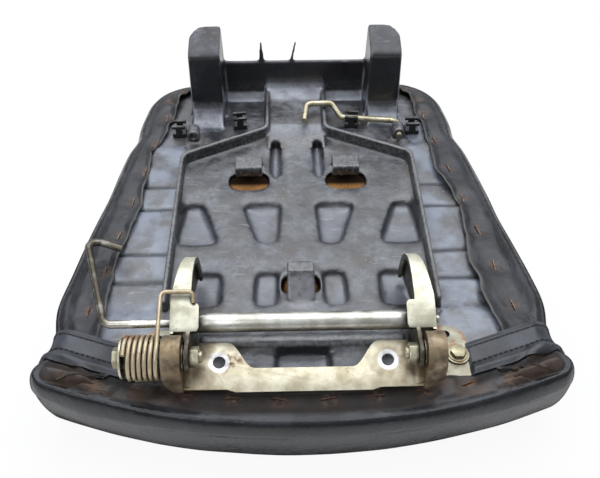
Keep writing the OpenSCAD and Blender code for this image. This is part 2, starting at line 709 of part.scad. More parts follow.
// The inner cheek is open under the arch, down to the deck.
module inner_cheek() difference() {
  opening = arch(-cheek_lip, 0, cheek_to, arch_steps);
  cheek();
  polygon(concat(opening, [[opening[arch_steps].x, deck_z - 1], [opening[0].x, deck_z - 1]]));
}
module outer_cheek(y0, y1) difference() {
  intersection() {
    cheek();
    translate([y0, deck_z - 1]) square([y1 - y0, 2 * arch_h]);
  }
  translate([pivot_y, pivot_z]) {
    circle(r = ear_r + rim_gap);
    rotate(plate_tilt) polygon(belt(ear_belt, rim_gap, ear_steps));
  }
}
module web(from, to) {
  polygon(concat(arch(0, from, to, arch_steps), flipped(arch(-steel_t, from, to, arch_steps))));
}
module arm_tab() {
  x0 = arm_in - tab_w + tab_r;
  x1 = arm_in + 2 * tab_r;
  y0 = arch_y + arch_pivot * cos(web_end) + tab_r;
  y1 = arch_y + arch_pivot * cos(tab_from) - tab_r;
  intersection() {
    along_x(arm_in - tab_w, arm_in + 1) web(tab_from, web_end);
    upright(deck_z, deck_z + 2 * arch_h)
      polygon(belt([[x0, y0, tab_r], [x1, y0, tab_r], [x1, y1, tab_r], [x0, y1, tab_r]], 0, 6));
  }
}
module leaning() {
  translate([arm_out, lean_y, 0]) rotate(arm_lean) translate([-arm_out, -lean_y, 0]) children();
}
module hinge_arm() {
  side = arm_out + foot_w;
  reach = arch_dy + arch_nose;
  foot = [[arm_out + steel_t, pivot_y + foot_r, foot_r], [side - foot_r, pivot_y + foot_r, foot_r],
    [side - foot_far_r, pivot_y + foot_l - foot_far_r, foot_far_r],
    [arm_in + steel_t, pivot_y + foot_l - steel_t, steel_t]];
  difference() {
    union() {
      along_x(arm_in, arm_in + steel_t) inner_cheek();
      along_x(arm_out - steel_t, arm_out) outer_cheek(pivot_y, lean_y);
      leaning() along_x(arm_out - steel_t, arm_out) outer_cheek(lean_y, lean_y + reach);
      difference() {
        along_x(arm_in, arm_out) web(0, web_end);
        leaning() translate([arm_out, lean_y, deck_z - 1]) cube([arm_w, reach, 2 * arch_h]);
      }
      arm_tab();
      upright(deck_z, foot_top) polygon(belt(foot, 0, 10));
    }
    pin_x(bolt_d / 2 + run_fit, arm_in - 1, ear_in, pivot_y, pivot_z);
    pin_x(rod_d / 2 + run_fit, arm_in - 1, arm_out + 1, tube_y, tube_z);
    for (p = [[foot_x, foot_y], [foot_x - spare_dx, foot_y + spare_dy]])
      translate([p.x, p.y, deck_z - 1]) cylinder(d = foot_bolt_d + bolt_slack, h = steel_t + 2);
  }
}
module hinge_arm_left() color("#b9b9a8") mirror([1, 0, 0]) hinge_arm();
module hinge_arm_right() color("#b9b9a8") hinge_arm();

// Cross tube between the arms, the journal of the lever rod.
module cross_tube() color("#c9c9c4") difference() {
  pin_x(tube_d / 2, -arm_in, arm_in, tube_y, tube_z);
  pin_x(rod_d / 2 + run_fit, -arm_in - 1, arm_in + 1, tube_y, tube_z);
}

// Foot bolts with their washers, screwed into inserts in the pan.
module foot_bolts() color("#a9a088") both_sides() translate([foot_x, foot_y, 0]) {
  head_z = foot_top + washer_t;
  shank_z = deck_z - insert_l + 1;
  translate([0, 0, shank_z]) cylinder(d = foot_bolt_d, h = head_z - shank_z + eps);
  translate([0, 0, head_z]) cylinder(r = hex_r * 0.8, h = head_t * 0.8, $fn = 6);
  translate([0, 0, head_z]) cylinder(r = hex_r * 0.95, h = 1);
}
module foot_washers() color("#c2bda4") both_sides() translate([foot_x, foot_y, foot_top]) difference() {
  cylinder(d = foot_washer_d, h = washer_t);
  translate([0, 0, -1]) cylinder(d = foot_bolt_d + bolt_slack, h = washer_t + 2);
}
module foot_inserts() color("#b08d4a")
  both_sides() translate([foot_x, foot_y, deck_z - insert_l]) difference() {
  cylinder(r = insert_r, h = insert_l);
  translate([0, 0, 0.8]) cylinder(d = foot_bolt_d + 2 * run_fit, h = insert_l);
}

// Bushes beside the inner cheeks, and the washers between them and the ears.
module arm_bush() difference() {
  pin_x(bolt_d / 2 + steel_t, arm_in + steel_t, bush_end, pivot_y, pivot_z);
  pin_x(bolt_d / 2 + run_fit, arm_in, arm_out, pivot_y, pivot_z);
}
module arm_bush_left() color("#8d8674") mirror([1, 0, 0]) arm_bush();
module arm_bush_right() color("#8d8674") arm_bush();
module thrust_washers() color("#d0d0cb") both_sides() difference() {
  pin_x(bolt_d / 2 + 2 * steel_t, bush_end, ear_in - run_fit, pivot_y, pivot_z);
  pin_x(bolt_d / 2 + run_fit, bush_end - 1, ear_in, pivot_y, pivot_z);
}

// Hinge base: a pressed plate with two rimmed ears, drawn level about the pivot and then tilted.
ear_bottom = -plate_drop - steel_t;
ear_corner = 4;
ear_belt = [[0, 0, ear_r], [ear_corner - plate_out, ear_bottom + ear_corner, ear_corner],
  [ear_corner, ear_bottom + ear_corner, ear_corner]];
ear_steps = 24;
fold_r = 9;
pad_w = 6;
curve_w = 19;
curve_steps = 7;
plate_step = 2;
plate_lap = 1.5;
arm_clear = 4;
hole_dy = 0.5;
module half_plate() {
  x0 = hole_pitch / 2 - pad_w;
  x1 = arm_in - arm_clear;
  waist = waist_w - plate_out;
  low = plate_step - plate_out;
  curve = [for (k = [0:curve_steps]) let (t = k / curve_steps)
    [x0 - curve_w * t, mix(plate_in, waist, (1 - cos(180 * t)) / 2)]];
  outline = concat([[-1, -plate_out], [x0 - pad_w, -plate_out], [x0, low], [ear_in + 1, low],
    [ear_in + 1, plate_lap], [x1, plate_lap], [x1, plate_in]], curve, [[-1, waist]]);
  upright(ear_bottom, -plate_drop) polygon(rounded(outline, 0.8));
}
module ear() {
  along_x(ear_in, ear_out) polygon(belt(ear_belt, 0, ear_steps));
  difference() {
    along_x(ear_in, rim_out) polygon(belt(ear_belt, 0, ear_steps));
    along_x(ear_in - 1, rim_out + 1) polygon(belt(ear_belt, -steel_t, ear_steps));
  }
}
// The fold from plate to ear: its inner curve filled, and the corner of the rim outside it rounded off.
fold_mid = [ear_out - fold_r, ear_bottom + fold_r];
dish_r = fold_r + rim_w;
dish_mid = [fold_mid.x, ear_bottom + dish_r];
function quarter(mid, r) = [for (a = [-90:9:0]) mid + r * [cos(a), sin(a)]];
module fold_fill() {
  along_y(ear_corner - plate_out, plate_lap) polygon(concat(quarter(fold_mid, fold_r - steel_t),
    [[ear_in + 1, fold_mid.y], [ear_in + 1, -plate_drop - 1], [fold_mid.x, -plate_drop - 1]]));
}
module fold_waste() {
  along_y(-plate_out - 1, plate_out) polygon(concat(quarter(dish_mid, dish_r),
    [[rim_out + 1, dish_mid.y], [rim_out + 1, ear_bottom - 1], [dish_mid.x, ear_bottom - 1]]));
}
module hinge_base() color("#b7ab86")
  translate([0, pivot_y, pivot_z]) rotate([plate_tilt, 0, 0]) difference() {
  both_sides() {
    half_plate();
    ear();
    fold_fill();
  }
  both_sides() {
    fold_waste();
    translate([hole_pitch / 2, hole_dy, ear_bottom - 1]) cylinder(d = hole_d, h = steel_t + 2);
    pin_x(bolt_d / 2 + run_fit, ear_in - 1, ear_out + 1, 0, 0);
  }
}

// Pivot bolts, nuts and the sleeve and washer that carry the spring; they turn with the hinge base.
nut_end = arm_in - nut_t - cover_fit;
bolt_tip = 2;
sleeve_wall = 5;
module pivot_bolt_left() color("#8f8a7c") mirror([1, 0, 0]) {
  head_x = sleeve_end + washer_t;
  pin_x(bolt_d / 2, nut_end - bolt_tip, head_x + eps, pivot_y, pivot_z);
  hex_x(head_x, head_x + head_t, pivot_y, pivot_z);
}
module pivot_bolt_right() color("#8f8a7c") {
  pin_x(bolt_d / 2, nut_end - bolt_tip, ear_out + eps, pivot_y, pivot_z);
  hex_x(ear_out, ear_out + head_t, pivot_y, pivot_z);
}
module pivot_nuts() color("#b3ae9c") both_sides() difference() {
  hex_x(nut_end, nut_end + nut_t, pivot_y, pivot_z);
  pin_x(bolt_d / 2 + run_fit, nut_end - 1, arm_in, pivot_y, pivot_z);
}
module spring_sleeve() color("#d3d2cc") mirror([1, 0, 0]) difference() {
  pin_x(bolt_d / 2 + sleeve_wall, ear_out, sleeve_end, pivot_y, pivot_z);
  pin_x(bolt_d / 2 + run_fit, ear_out - 1, sleeve_end + 1, pivot_y, pivot_z);
}
module spring_washer() color("#a59d84") mirror([1, 0, 0]) difference() {
  pin_x(coil_d / 2 - wire_d / 2, sleeve_end, sleeve_end + washer_t, pivot_y, pivot_z);
  pin_x(bolt_d / 2 + run_fit, sleeve_end - 1, sleeve_end + washer_t + 1, pivot_y, pivot_z);
}

// Torsion spring: a close coil round the sleeve, one leg hooked over the left arm, one short tail.
leg_dy = 39;
leg_gap = 0.6;
leg_y = pivot_y + leg_dy;
leg_z = deck_z + arch_h + wire_d / 2 + leg_gap;
hook_x = arm_in - wire_d / 2 - leg_gap;
hook_l = 6.2;
hook_drop = 5.5;
leg_r = 5;
leg_lag = 1.5;
leg_ease = 0.8;
leg_top = 97;
function coil_at(t) = let (a = leg_top + 360 * t)
  [-coil_in - turn_pitch * t, pivot_y + coil_r * cos(a), pivot_z + coil_r * sin(a)];
turn_steps = 8;
coil = [for (k = [0:turns * turn_steps]) coil_at(k / turn_steps)];
leg = [[-hook_x, leg_y - hook_l, leg_z - hook_drop], [-hook_x, leg_y - leg_r, leg_z - leg_ease],
  [-hook_x - leg_lag, leg_y - leg_ease, leg_z], [-hook_x - leg_r, leg_y, leg_z],
  [leg_r - coil_in, leg_y, leg_z], [leg_lag - coil_in, leg_y - leg_ease, leg_z],
  [-coil_in, leg_y - leg_r, leg_z - leg_ease / 2]];
tail_end = coil_at(turns);
tail_way = [0, -sin(leg_top), cos(leg_top)];
spring_path = concat(leg, coil, [tail_end + tail_way * 2 * wire_d]);
far_pairs = [for (i = [0:len(spring_path) - 1]) for (j = [i + turn_steps - 2:1:len(spring_path) - 1])
  norm(spring_path[i] - spring_path[j])];
module torsion_spring() color("#8a6f45") {
  echo(spring_least_gap = min(far_pairs) - wire_d);
  loft(tube_lines(spring_path, wire_d, 6));
}

// Lever rod: turns in the cross tube and folds along the side, with a hooked end.
rod_tip = 4;
rod_out = arm_out + rod_tip;
lever_out = 44.6;
lever_x = rim_out + lever_out;
lever_hook = [29, -8, -5];
bend_lap = 1.2;
lever_bend = 8;
wire_sides = 14;
journal_lap = 2;
swept = 0.99;
module lever_rod() color("#c4c3ba") {
  journal_end = -lever_x + bend_lap * lever_bend;
  elbow = [-lever_x, tube_y, tube_z];
  tip = [-lever_x - lever_lean, tube_y + lever_l, tube_z - lever_drop];
  hook = tip + lever_hook;
  pin_x(rod_d / 2, journal_end, rod_out, tube_y, tube_z);
  loft(tube_lines(bent([[journal_end + journal_lap, tube_y, tube_z], elbow, tip, hook], lever_bend),
    rod_d * swept, wire_sides));
}
module rod_retainer() color("#9b9789") difference() {
  pin_x(rod_d / 2 + steel_t, arm_out + run_fit, arm_out + washer_t, tube_y, tube_z);
  pin_x(rod_d / 2 + run_fit, arm_out - 1, arm_out + 2 * washer_t, tube_y, tube_z);
}

// Stay wire: turns in the right-hand eye and lies in a clip, with a cranked free end.
clip_w = 13;
jaw_t = 3;
clip_clear = 3;
clip_in_x = 55;
clip_in_dy = 27;
clip_out_dy = 15;
stay_reach = 8;
stay_over = 10;
stay_tail = 31;
crank_out = 36;
crank_in = 11;
crank_lean = 3;
crank_gap = 1;
crank_z = stay_z + stay_rise;
crank_y = horn_y - stay_d / 2 - crank_gap;
stay_bend = 5;
stay_elbow = [eye_x, eye_y + eye_l + stay_reach, stay_z];
clip_in = [clip_in_x, eye_y + clip_in_dy, stay_z];
clip_way = unit(clip_in - stay_elbow);
clip_turn = atan(clip_way.y / clip_way.x);
flap_near = belt_arc(flap_plan, 1, 0, 1)[1];
flap_far = belt_arc(flap_plan, 2, 0, 1)[0];
clip_out_y = eye_y + clip_out_dy;
flap_edge = mix(flap_near.x, flap_far.x, (clip_out_y + clip_w - flap_near.y) / (flap_far.y - flap_near.y));
clip_out = [flap_edge - clip_w / 2 - clip_clear, clip_out_y];
module stay_wire() color("#b9a56c") {
  journal_end = stay_elbow.y - bend_lap * stay_bend;
  run = [[eye_x, journal_end - journal_lap, stay_z], stay_elbow, clip_in + clip_way * stay_over,
    [crank_out, crank_y, crank_z], [crank_in, crank_y, crank_z],
    [crank_in - crank_lean, horn_y - stay_tail, crank_z - 1]];
  translate([eye_x, eye_y - rod_tip, stay_z]) rotate([-90, 0, 0])
    cylinder(d = stay_d, h = journal_end - eye_y + rod_tip);
  loft(tube_lines(bent(run, stay_bend), stay_d * swept, wire_sides));
}

// Clips: snap-in saddles with a T-shaped jaw each side of the wire seat.
module clip(place, turn) {
  seat = stay_d / 2 + cover_fit;
  floor_z = stay_z - seat;
  top = stay_z + seat + 2;
  translate([place.x, place.y, 0]) rotate(turn) {
    translate([-clip_w / 2, -seat - jaw_t, deck_z]) cube([clip_w, 2 * (seat + jaw_t), floor_z - deck_z]);
    for (y = [-seat - jaw_t, seat]) {
      translate([-jaw_t, y, floor_z - eps]) cube([2 * jaw_t, jaw_t, top - floor_z + eps]);
      translate([-clip_w / 2, y, top - jaw_t]) cube([clip_w, jaw_t, jaw_t]);
    }
  }
}
module clip_outer_left() color("#1d1e20") mirror([1, 0, 0]) clip(clip_out, 0);
module clip_inner_left() color("#1d1e20") mirror([1, 0, 0]) clip(clip_in, clip_turn);
module clip_inner_right() color("#1d1e20") clip(clip_in, clip_turn);
module clip_outer_right() color("#1d1e20") clip(clip_out, 0);

seat_pan();
foam_cushion();
seat_cover();
corner_band_left();
corner_band_right();
staples();
hinge_arm_left();
hinge_arm_right();
cross_tube();
foot_bolts();
foot_washers();
foot_inserts();
arm_bush_left();
arm_bush_right();
thrust_washers();
hinge_base();
pivot_bolt_left();
pivot_bolt_right();
pivot_nuts();
spring_sleeve();
spring_washer();
torsion_spring();
lever_rod();
rod_retainer();
stay_wire();
clip_outer_left();
clip_inner_left();
clip_inner_right();
clip_outer_right();
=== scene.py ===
import math

import bmesh
import bpy
import numpy as np
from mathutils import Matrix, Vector, noise
from mathutils.bvhtree import BVHTree


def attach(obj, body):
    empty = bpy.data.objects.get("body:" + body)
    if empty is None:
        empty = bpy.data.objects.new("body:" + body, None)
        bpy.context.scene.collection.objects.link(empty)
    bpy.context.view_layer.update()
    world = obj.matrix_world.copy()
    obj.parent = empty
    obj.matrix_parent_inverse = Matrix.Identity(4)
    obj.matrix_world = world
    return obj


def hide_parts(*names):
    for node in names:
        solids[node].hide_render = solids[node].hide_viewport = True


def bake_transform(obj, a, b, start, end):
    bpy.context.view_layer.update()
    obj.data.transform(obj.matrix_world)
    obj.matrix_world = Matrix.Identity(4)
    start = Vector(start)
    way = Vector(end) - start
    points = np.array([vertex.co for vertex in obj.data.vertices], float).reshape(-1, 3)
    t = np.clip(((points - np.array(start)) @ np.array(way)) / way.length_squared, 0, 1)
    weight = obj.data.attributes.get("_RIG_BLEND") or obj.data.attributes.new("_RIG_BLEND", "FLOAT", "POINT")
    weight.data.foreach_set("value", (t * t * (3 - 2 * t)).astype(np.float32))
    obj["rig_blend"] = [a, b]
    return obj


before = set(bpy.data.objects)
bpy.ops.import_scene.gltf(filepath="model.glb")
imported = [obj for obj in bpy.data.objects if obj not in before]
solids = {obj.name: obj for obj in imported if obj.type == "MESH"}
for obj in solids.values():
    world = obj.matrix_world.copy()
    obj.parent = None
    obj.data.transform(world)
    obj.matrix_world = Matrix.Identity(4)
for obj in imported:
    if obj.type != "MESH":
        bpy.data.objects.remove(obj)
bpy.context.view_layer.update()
scene = bpy.context.scene

# The studio: a plain white sweep, on which the saddle lies cushion down. A broad lamp above lights what
# faces up, one behind gives the sheen, a weak one fills beside the camera, and the sky pales upwards.
FLOOR_SIDE, FLOOR_DROP = 6.0, 0.0006
FLOOR_WHITE = (0.88, 0.88, 0.88, 1)
FLOOR_GLOW, FLOOR_SHADE = 0.93, 0.03
MIRRORED_FROM, END_BOW = (0.211, 0.246), 1.25
SKY_LOW, SKY_HIGH, SKY_IN_GLOSS = 0.04, 0.50, 0.2
COOL_WHITE = (0.93, 0.965, 1.0, 1)
LAMPS = {
    "lamp_above": ((0.05, 0.30, 1.35), (1.8, 1.4), 18.0),
    "lamp_behind": ((0.05, 1.04, 1.05), (2.4, 1.2), 9.0),
    "lamp_beside_camera": ((-0.75, -0.95, 1.25), (0.9, 0.9), 5.0),
}
AIM = Vector((0.0006, -0.025, 0.060))
VIEW_TURN, VIEW_RISE, VIEW_FAR = math.radians(-1.32), math.radians(45), 0.665
LENS, SENSOR, CLIP_FROM = 46.8, 36, 0.02


def worked(tree, operation, *values):
    """The output of one math node that is fed with numbers and with other nodes' outputs."""
    step = tree.nodes.new("ShaderNodeMath")
    step.operation = operation
    for socket, value in zip(step.inputs, values):
        if isinstance(value, float):
            socket.default_value = value
        else:
            tree.links.new(value, socket)
    return step.outputs[0]


def on_rays(tree, kind):
    """1 on rays of one kind and 0 on the rest."""
    return tree.nodes.new("ShaderNodeLightPath").outputs[kind]


def seen_as_backdrop(tree):
    return worked(tree, "MAXIMUM", on_rays(tree, "Is Camera Ray"), on_rays(tree, "Is Transmission Ray"))


def pick(tree, share, first, second):
    """The first shader where share is 0 and the second where it is 1."""
    choice = tree.nodes.new("ShaderNodeMixShader")
    if isinstance(share, float):
        choice.inputs[0].default_value = share
    else:
        tree.links.new(share, choice.inputs[0])
    tree.links.new(first.outputs[0], choice.inputs[1])
    tree.links.new(second.outputs[0], choice.inputs[2])
    return choice


studio = bpy.data.worlds.new("studio")
studio.use_nodes = True
scene.world = studio
sky = studio.node_tree
sky.nodes.clear()
soft_sky = sky.nodes.new("ShaderNodeBackground")
soft_sky.inputs["Color"].default_value = COOL_WHITE
upward = sky.nodes.new("ShaderNodeSeparateXYZ")
sky.links.new(sky.nodes.new("ShaderNodeTexCoord").outputs["Generated"], upward.inputs[0])
paling = sky.nodes.new("ShaderNodeMapRange")
paling.inputs["To Min"].default_value = SKY_LOW
paling.inputs["To Max"].default_value = SKY_HIGH
sky.links.new(upward.outputs["Z"], paling.inputs["Value"])
sky.links.new(paling.outputs[0], soft_sky.inputs["Strength"])
white_sky = sky.nodes.new("ShaderNodeBackground")
white_sky.inputs["Color"].default_value = (1, 1, 1, 1)
sky_end = sky.nodes.new("ShaderNodeOutputWorld")
in_gloss = worked(sky, "MULTIPLY", on_rays(sky, "Is Glossy Ray"), SKY_IN_GLOSS)
white_share = worked(sky, "MAXIMUM", seen_as_backdrop(sky), in_gloss)
sky.links.new(pick(sky, white_share, soft_sky, white_sky).outputs[0], sky_end.inputs[0])

floor_mesh = bpy.data.meshes.new("floor")
half = FLOOR_SIDE / 2
floor_corners = [(-half, -half, 0), (half, -half, 0), (half, half, 0), (-half, half, 0)]
floor_mesh.from_pydata(floor_corners, [], [(0, 1, 2, 3)])
floor = bpy.data.objects.new("floor", floor_mesh)
scene.collection.objects.link(floor)
floor.location.z = -FLOOR_DROP
floor_paint = bpy.data.materials.new("white_sweep")
floor_paint.use_nodes = True
paint = floor_paint.node_tree
paint.nodes.clear()
matt = paint.nodes.new("ShaderNodeBsdfDiffuse")
matt.inputs["Color"].default_value = FLOOR_WHITE
glow = paint.nodes.new("ShaderNodeEmission")
glow.inputs["Strength"].default_value = 1.0
lit = pick(paint, FLOOR_GLOW, matt, glow)
paint_end = paint.nodes.new("ShaderNodeOutputMaterial")
where = paint.nodes.new("ShaderNodeSeparateXYZ")
paint.links.new(paint.nodes.new("ShaderNodeNewGeometry").outputs["Position"], where.inputs[0])
across, along = where.outputs[0], where.outputs[1]
# Seen in reflections, the floor is painted: dark in an oval round the saddle as its shadow, and glowing white
# beyond it.
bowed = worked(paint, "MULTIPLY", across, across)
away = worked(paint, "MULTIPLY_ADD", bowed, END_BOW, worked(paint, "ABSOLUTE", along))
mirrored = paint.nodes.new("ShaderNodeMapRange")
mirrored.inputs["From Min"].default_value, mirrored.inputs["From Max"].default_value = MIRRORED_FROM
paint.links.new(away, mirrored.inputs["Value"])
shade = paint.nodes.new("ShaderNodeEmission")
shade.inputs["Strength"].default_value = FLOOR_SHADE
in_mirror = pick(paint, mirrored.outputs[0], shade, glow)
plain = pick(paint, on_rays(paint, "Is Glossy Ray"), matt, in_mirror)
paint.links.new(pick(paint, seen_as_backdrop(paint), plain, lit).outputs[0], paint_end.inputs[0])
floor_mesh.materials.append(floor_paint)

for lamp_name, (place, sides, watts) in LAMPS.items():
    lamp = bpy.data.lights.new(lamp_name, "AREA")
    lamp.shape = "RECTANGLE"
    lamp.size, lamp.size_y = sides
    lamp.energy = watts
    lamp.color = COOL_WHITE[:3]
    lamp_object = bpy.data.objects.new(lamp_name, lamp)
    lamp_object.location = place
    lamp_object.rotation_mode = "QUATERNION"
    lamp_object.rotation_quaternion = (AIM - Vector(place)).to_track_quat("-Z", "Y")
    scene.collection.objects.link(lamp_object)

camera = bpy.data.cameras.new("camera")
camera.lens = LENS
camera.sensor_width = SENSOR
camera.clip_start = CLIP_FROM
camera_object = bpy.data.objects.new("camera", camera)
back = Vector((math.sin(VIEW_TURN) * math.cos(VIEW_RISE), -math.cos(VIEW_TURN) * math.cos(VIEW_RISE),
               math.sin(VIEW_RISE)))
camera_object.location = AIM + back * VIEW_FAR
camera_object.rotation_mode = "QUATERNION"
camera_object.rotation_quaternion = (-back).to_track_quat("-Z", "Y")
scene.collection.objects.link(camera_object)
scene.camera = camera_object
scene.view_settings.view_transform = "Standard"

# The base pan: one injection moulding of black polypropylene with tray walls, pockets, two horns and
# two fins. Dust lies on what faces up, with a painted sheen in it, the side decks are bleached and painted
# lighter as sheen, the pocket floors are painted lighter as lit, the deck grooves get painted shade, the
# tight corners brown grime and painted shade, and the horn flares a painted sheen.
MM = 0.001
WELD_GAP = 0.01 * MM
PAN_VOXEL, PAN_FACES = 1.25 * MM, 170000
TRAY_HALF, TRAY_NOSE, POCKET_LOW = 0.1085, 0.12, 0.016
TRAY_ROUNDING, NOSE_ROUNDING = 40, 5
DECK_Z, SIDE_TOP, SIDE_NOSE = 0.062, 0.067, 0.135
WALL_TOP, HORN_TOP, HORN_FROM = 0.078, 0.100, 0.105
PANEL_STEPS = (-0.150, -0.105, -0.0735, -0.0425, 0.0125, 0.0425, 0.100, 0.140)
PANEL_RISE, STEP_DEEP, STEP_WIDE, WAVE, WAVE_LONG = 0.0018, 0.0012, 0.0026, 0.0012, 0.026
RAMP_Y = -0.092


class Finish:
    """A finish under way: one principled shader and the textures laid on it, in the object's own metres."""

    def __init__(self, name, roughness=0.5, metallic=0.0, specular=0.5):
        self.material = bpy.data.materials.new(name)
        self.material.use_nodes = True
        self.tree = self.material.node_tree
        self.shader = self.tree.nodes["Principled BSDF"]
        self.shader.inputs["Roughness"].default_value = roughness
        self.shader.inputs["Metallic"].default_value = metallic
        self.shader.inputs["Specular IOR Level"].default_value = specular
        self.place = self.node("ShaderNodeTexCoord").outputs["Object"]

    def node(self, kind, **settings):
        made = self.tree.nodes.new(kind)
        for key, value in settings.items():
            setattr(made, key, value)
        return made

    def feed(self, target, value):
        if isinstance(value, bpy.types.NodeSocket):
            self.tree.links.new(value, target)
        else:
            target.default_value = value

    def math(self, operation, first, second):
        result = worked(self.tree, operation, first, second)
        result.node.use_clamp = True
        return result

    def times(self, first, second):
        return self.math("MULTIPLY", first, second)

    def plus(self, first, second):
        return self.math("ADD", first, second)

    def rise(self, value, low, high, start=0.0, end=1.0):
        """start below low, end above high, and smooth between them."""
        step = self.node("ShaderNodeMapRange", interpolation_type="SMOOTHSTEP")
        for socket, number in zip(step.inputs[1:5], (low, high, start, end)):
            socket.default_value = number
        self.feed(step.inputs[0], value)
        return step.outputs[0]

    def mottle(self, size, detail=3.0, stretch=None):
        """Cloudy noise from 0 to 1 with features of about that size in metres."""
        place = self.place
        if stretch:
            turned = self.node("ShaderNodeMapping")
            self.feed(turned.inputs["Vector"], place)
            turned.inputs["Scale"].default_value = stretch
            place = turned.outputs[0]
        cloud = self.node("ShaderNodeTexNoise")
        cloud.inputs["Scale"].default_value = 1 / size
        cloud.inputs["Detail"].default_value = detail
        self.feed(cloud.inputs["Vector"], place)
        return cloud.outputs["Fac"]

    def cells(self, size):
        """Distance to the nearest of scattered points, for grain and specks."""
        grain = self.node("ShaderNodeTexVoronoi")
        grain.inputs["Scale"].default_value = 1 / size
        self.feed(grain.inputs["Vector"], self.place)
        return grain.outputs["Distance"]

    def tint(self, share, first, second):
        blend = self.node("ShaderNodeMix", data_type="RGBA")
        self.feed(blend.inputs["Factor"], share)
        for socket, value in ((blend.inputs[6], first), (blend.inputs[7], second)):
            self.feed(socket, value if isinstance(value, bpy.types.NodeSocket) else (*value, 1))
        return blend.outputs[2]

    def crevice(self, reach):
        """1 in tight corners and 0 in the open."""
        shade = self.node("ShaderNodeAmbientOcclusion", samples=8)
        shade.inputs["Distance"].default_value = reach
        return self.rise(shade.outputs["AO"], 0.25, 0.95, 1.0, 0.0)

    def facing_up(self):
        return self.rise(self.facing(2), 0.25, 0.97)

    def facing(self, axis):
        """One part of the object's own normal."""
        split = self.node("ShaderNodeSeparateXYZ")
        self.feed(split.inputs[0], self.node("ShaderNodeTexCoord").outputs["Normal"])
        return split.outputs[axis]

    def part(self, axis):
        split = self.node("ShaderNodeSeparateXYZ")
        self.feed(split.inputs[0], self.place)
        return split.outputs[axis]

    def mask(self, name):
        return self.node("ShaderNodeAttribute", attribute_name=name).outputs["Fac"]

    def worn_edge(self, low=0.52, high=0.6):
        return self.rise(self.node("ShaderNodeNewGeometry").outputs["Pointiness"], low, high)

    def near(self, point, inner, outer):
        """1 within inner metres of a point, falling to 0 at outer."""
        gap = self.node("ShaderNodeVectorMath", operation="DISTANCE")
        self.feed(gap.inputs[0], self.place)
        gap.inputs[1].default_value = point
        return self.rise(gap.outputs["Value"], inner, outer, 1.0, 0.0)

    def relief(self, *layers):
        """Bumps of (height texture, depth in metres), one over the other."""
        normal = None
        for height, depth in layers:
            bump = self.node("ShaderNodeBump")
            bump.inputs["Distance"].default_value = depth
            bump.inputs["Strength"].default_value = 1.0
            self.feed(bump.inputs["Height"], height)
            if normal:
                self.feed(bump.inputs["Normal"], normal)
            normal = bump.outputs[0]
        self.feed(self.shader.inputs["Normal"], normal)

    def set(self, socket, value):
        self.feed(self.shader.inputs[socket], value)


def new_piece(name, mesh, finish, body="seat", stands_for=()):
    """A piece in the scene: its finish, the body that it rides on and the nodes that it stands for."""
    piece = bpy.data.objects.new(name, mesh)
    scene.collection.objects.link(piece)
    mesh.materials.clear()
    mesh.materials.append(finish.material)
    if stands_for:
        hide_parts(*stands_for)
    if body:
        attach(piece, body)
    return piece


def modified_copy(solid, name, steps):
    """A new mesh: the solid's own mesh after some modifiers, given as (type, settings)."""
    helper = bpy.data.objects.new(name + "_helper", solid.data.copy())
    scene.collection.objects.link(helper)
    for kind, settings in steps:
        step = helper.modifiers.new(kind.lower(), kind)
        for key, value in settings.items():
            setattr(step, key, value)
    shaped = bpy.data.meshes.new_from_object(helper.evaluated_get(bpy.context.evaluated_depsgraph_get()))
    bpy.data.objects.remove(helper)
    shaped.name = name
    shaped.transform(solid.matrix_world)
    for attribute in [a.name for a in shaped.attributes if a.name == "custom_normal"]:
        shaped.attributes.remove(shaped.attributes[attribute])
    return shaped


def points_of(mesh):
    flat = np.empty(len(mesh.vertices) * 3)
    mesh.vertices.foreach_get("co", flat)
    return flat.reshape(-1, 3)


def put_points(mesh, points):
    mesh.vertices.foreach_set("co", np.asarray(points, float).ravel())
    mesh.update()


def smooth_faces(mesh, sharp_over=None):
    mesh.polygons.foreach_set("use_smooth", [True] * len(mesh.polygons))
    if sharp_over:
        mesh.set_sharp_from_angle(angle=math.radians(sharp_over))


def add_mask(mesh, name, values):
    layer = mesh.attributes.new(name, "FLOAT", "POINT")
    layer.data.foreach_set("value", np.asarray(values, np.float32))


def relax(mesh, weights, times):
    """Rounds off a mesh: each point goes towards the middle of its neighbours by its weight."""
    ends = np.empty(2 * len(mesh.edges), int)
    mesh.edges.foreach_get("vertices", ends)
    first, second = ends[0::2], ends[1::2]
    links = np.bincount(ends, minlength=len(mesh.vertices))[:, None]
    points = points_of(mesh)
    for _ in range(times):
        total = np.zeros_like(points)
        np.add.at(total, first, points[second])
        np.add.at(total, second, points[first])
        points += weights[:, None] * (total / np.maximum(links, 1) - points)
    put_points(mesh, points)


pan_plastic = Finish("dusty_black_moulding", roughness=0.4, specular=0.95)
f = pan_plastic
up = f.facing_up()
clouds = f.mottle(0.035, 4)
specks = f.mottle(0.003, 2)
powder = f.times(f.rise(f.mottle(0.011, 5), 0.36, 0.66, 0.25, 1.0), f.rise(specks, 0.3, 0.7, 0.55, 1.0))
# Dust on what faces up, lightened further as a painted sheen there.
dust = f.times(up, f.times(f.rise(clouds, 0.30, 0.68, 0.25, 1.0), powder))
colour = f.tint(dust, (0.0125, 0.013, 0.0165), (0.180, 0.186, 0.212))
# Painted light: the pocket floors are painted lighter, as lit from above.
lit_pocket_floor = f.times(f.mask("lit_pocket_floor"), f.times(up, f.rise(f.mottle(0.012, 4), 0.25, 0.6, 0.45, 1.0)))
colour = f.tint(lit_pocket_floor, colour, (0.1222, 0.1287, 0.156))
# Side decks: bleached, and painted lighter blue-grey as their sheen.
bleach_and_sheen = f.times(f.times(f.mask("side_deck"), up), f.rise(f.mottle(0.026, 5), 0.38, 0.60, 0.1, 1.0))
colour = f.tint(bleach_and_sheen, colour, (0.172, 0.196, 0.254))
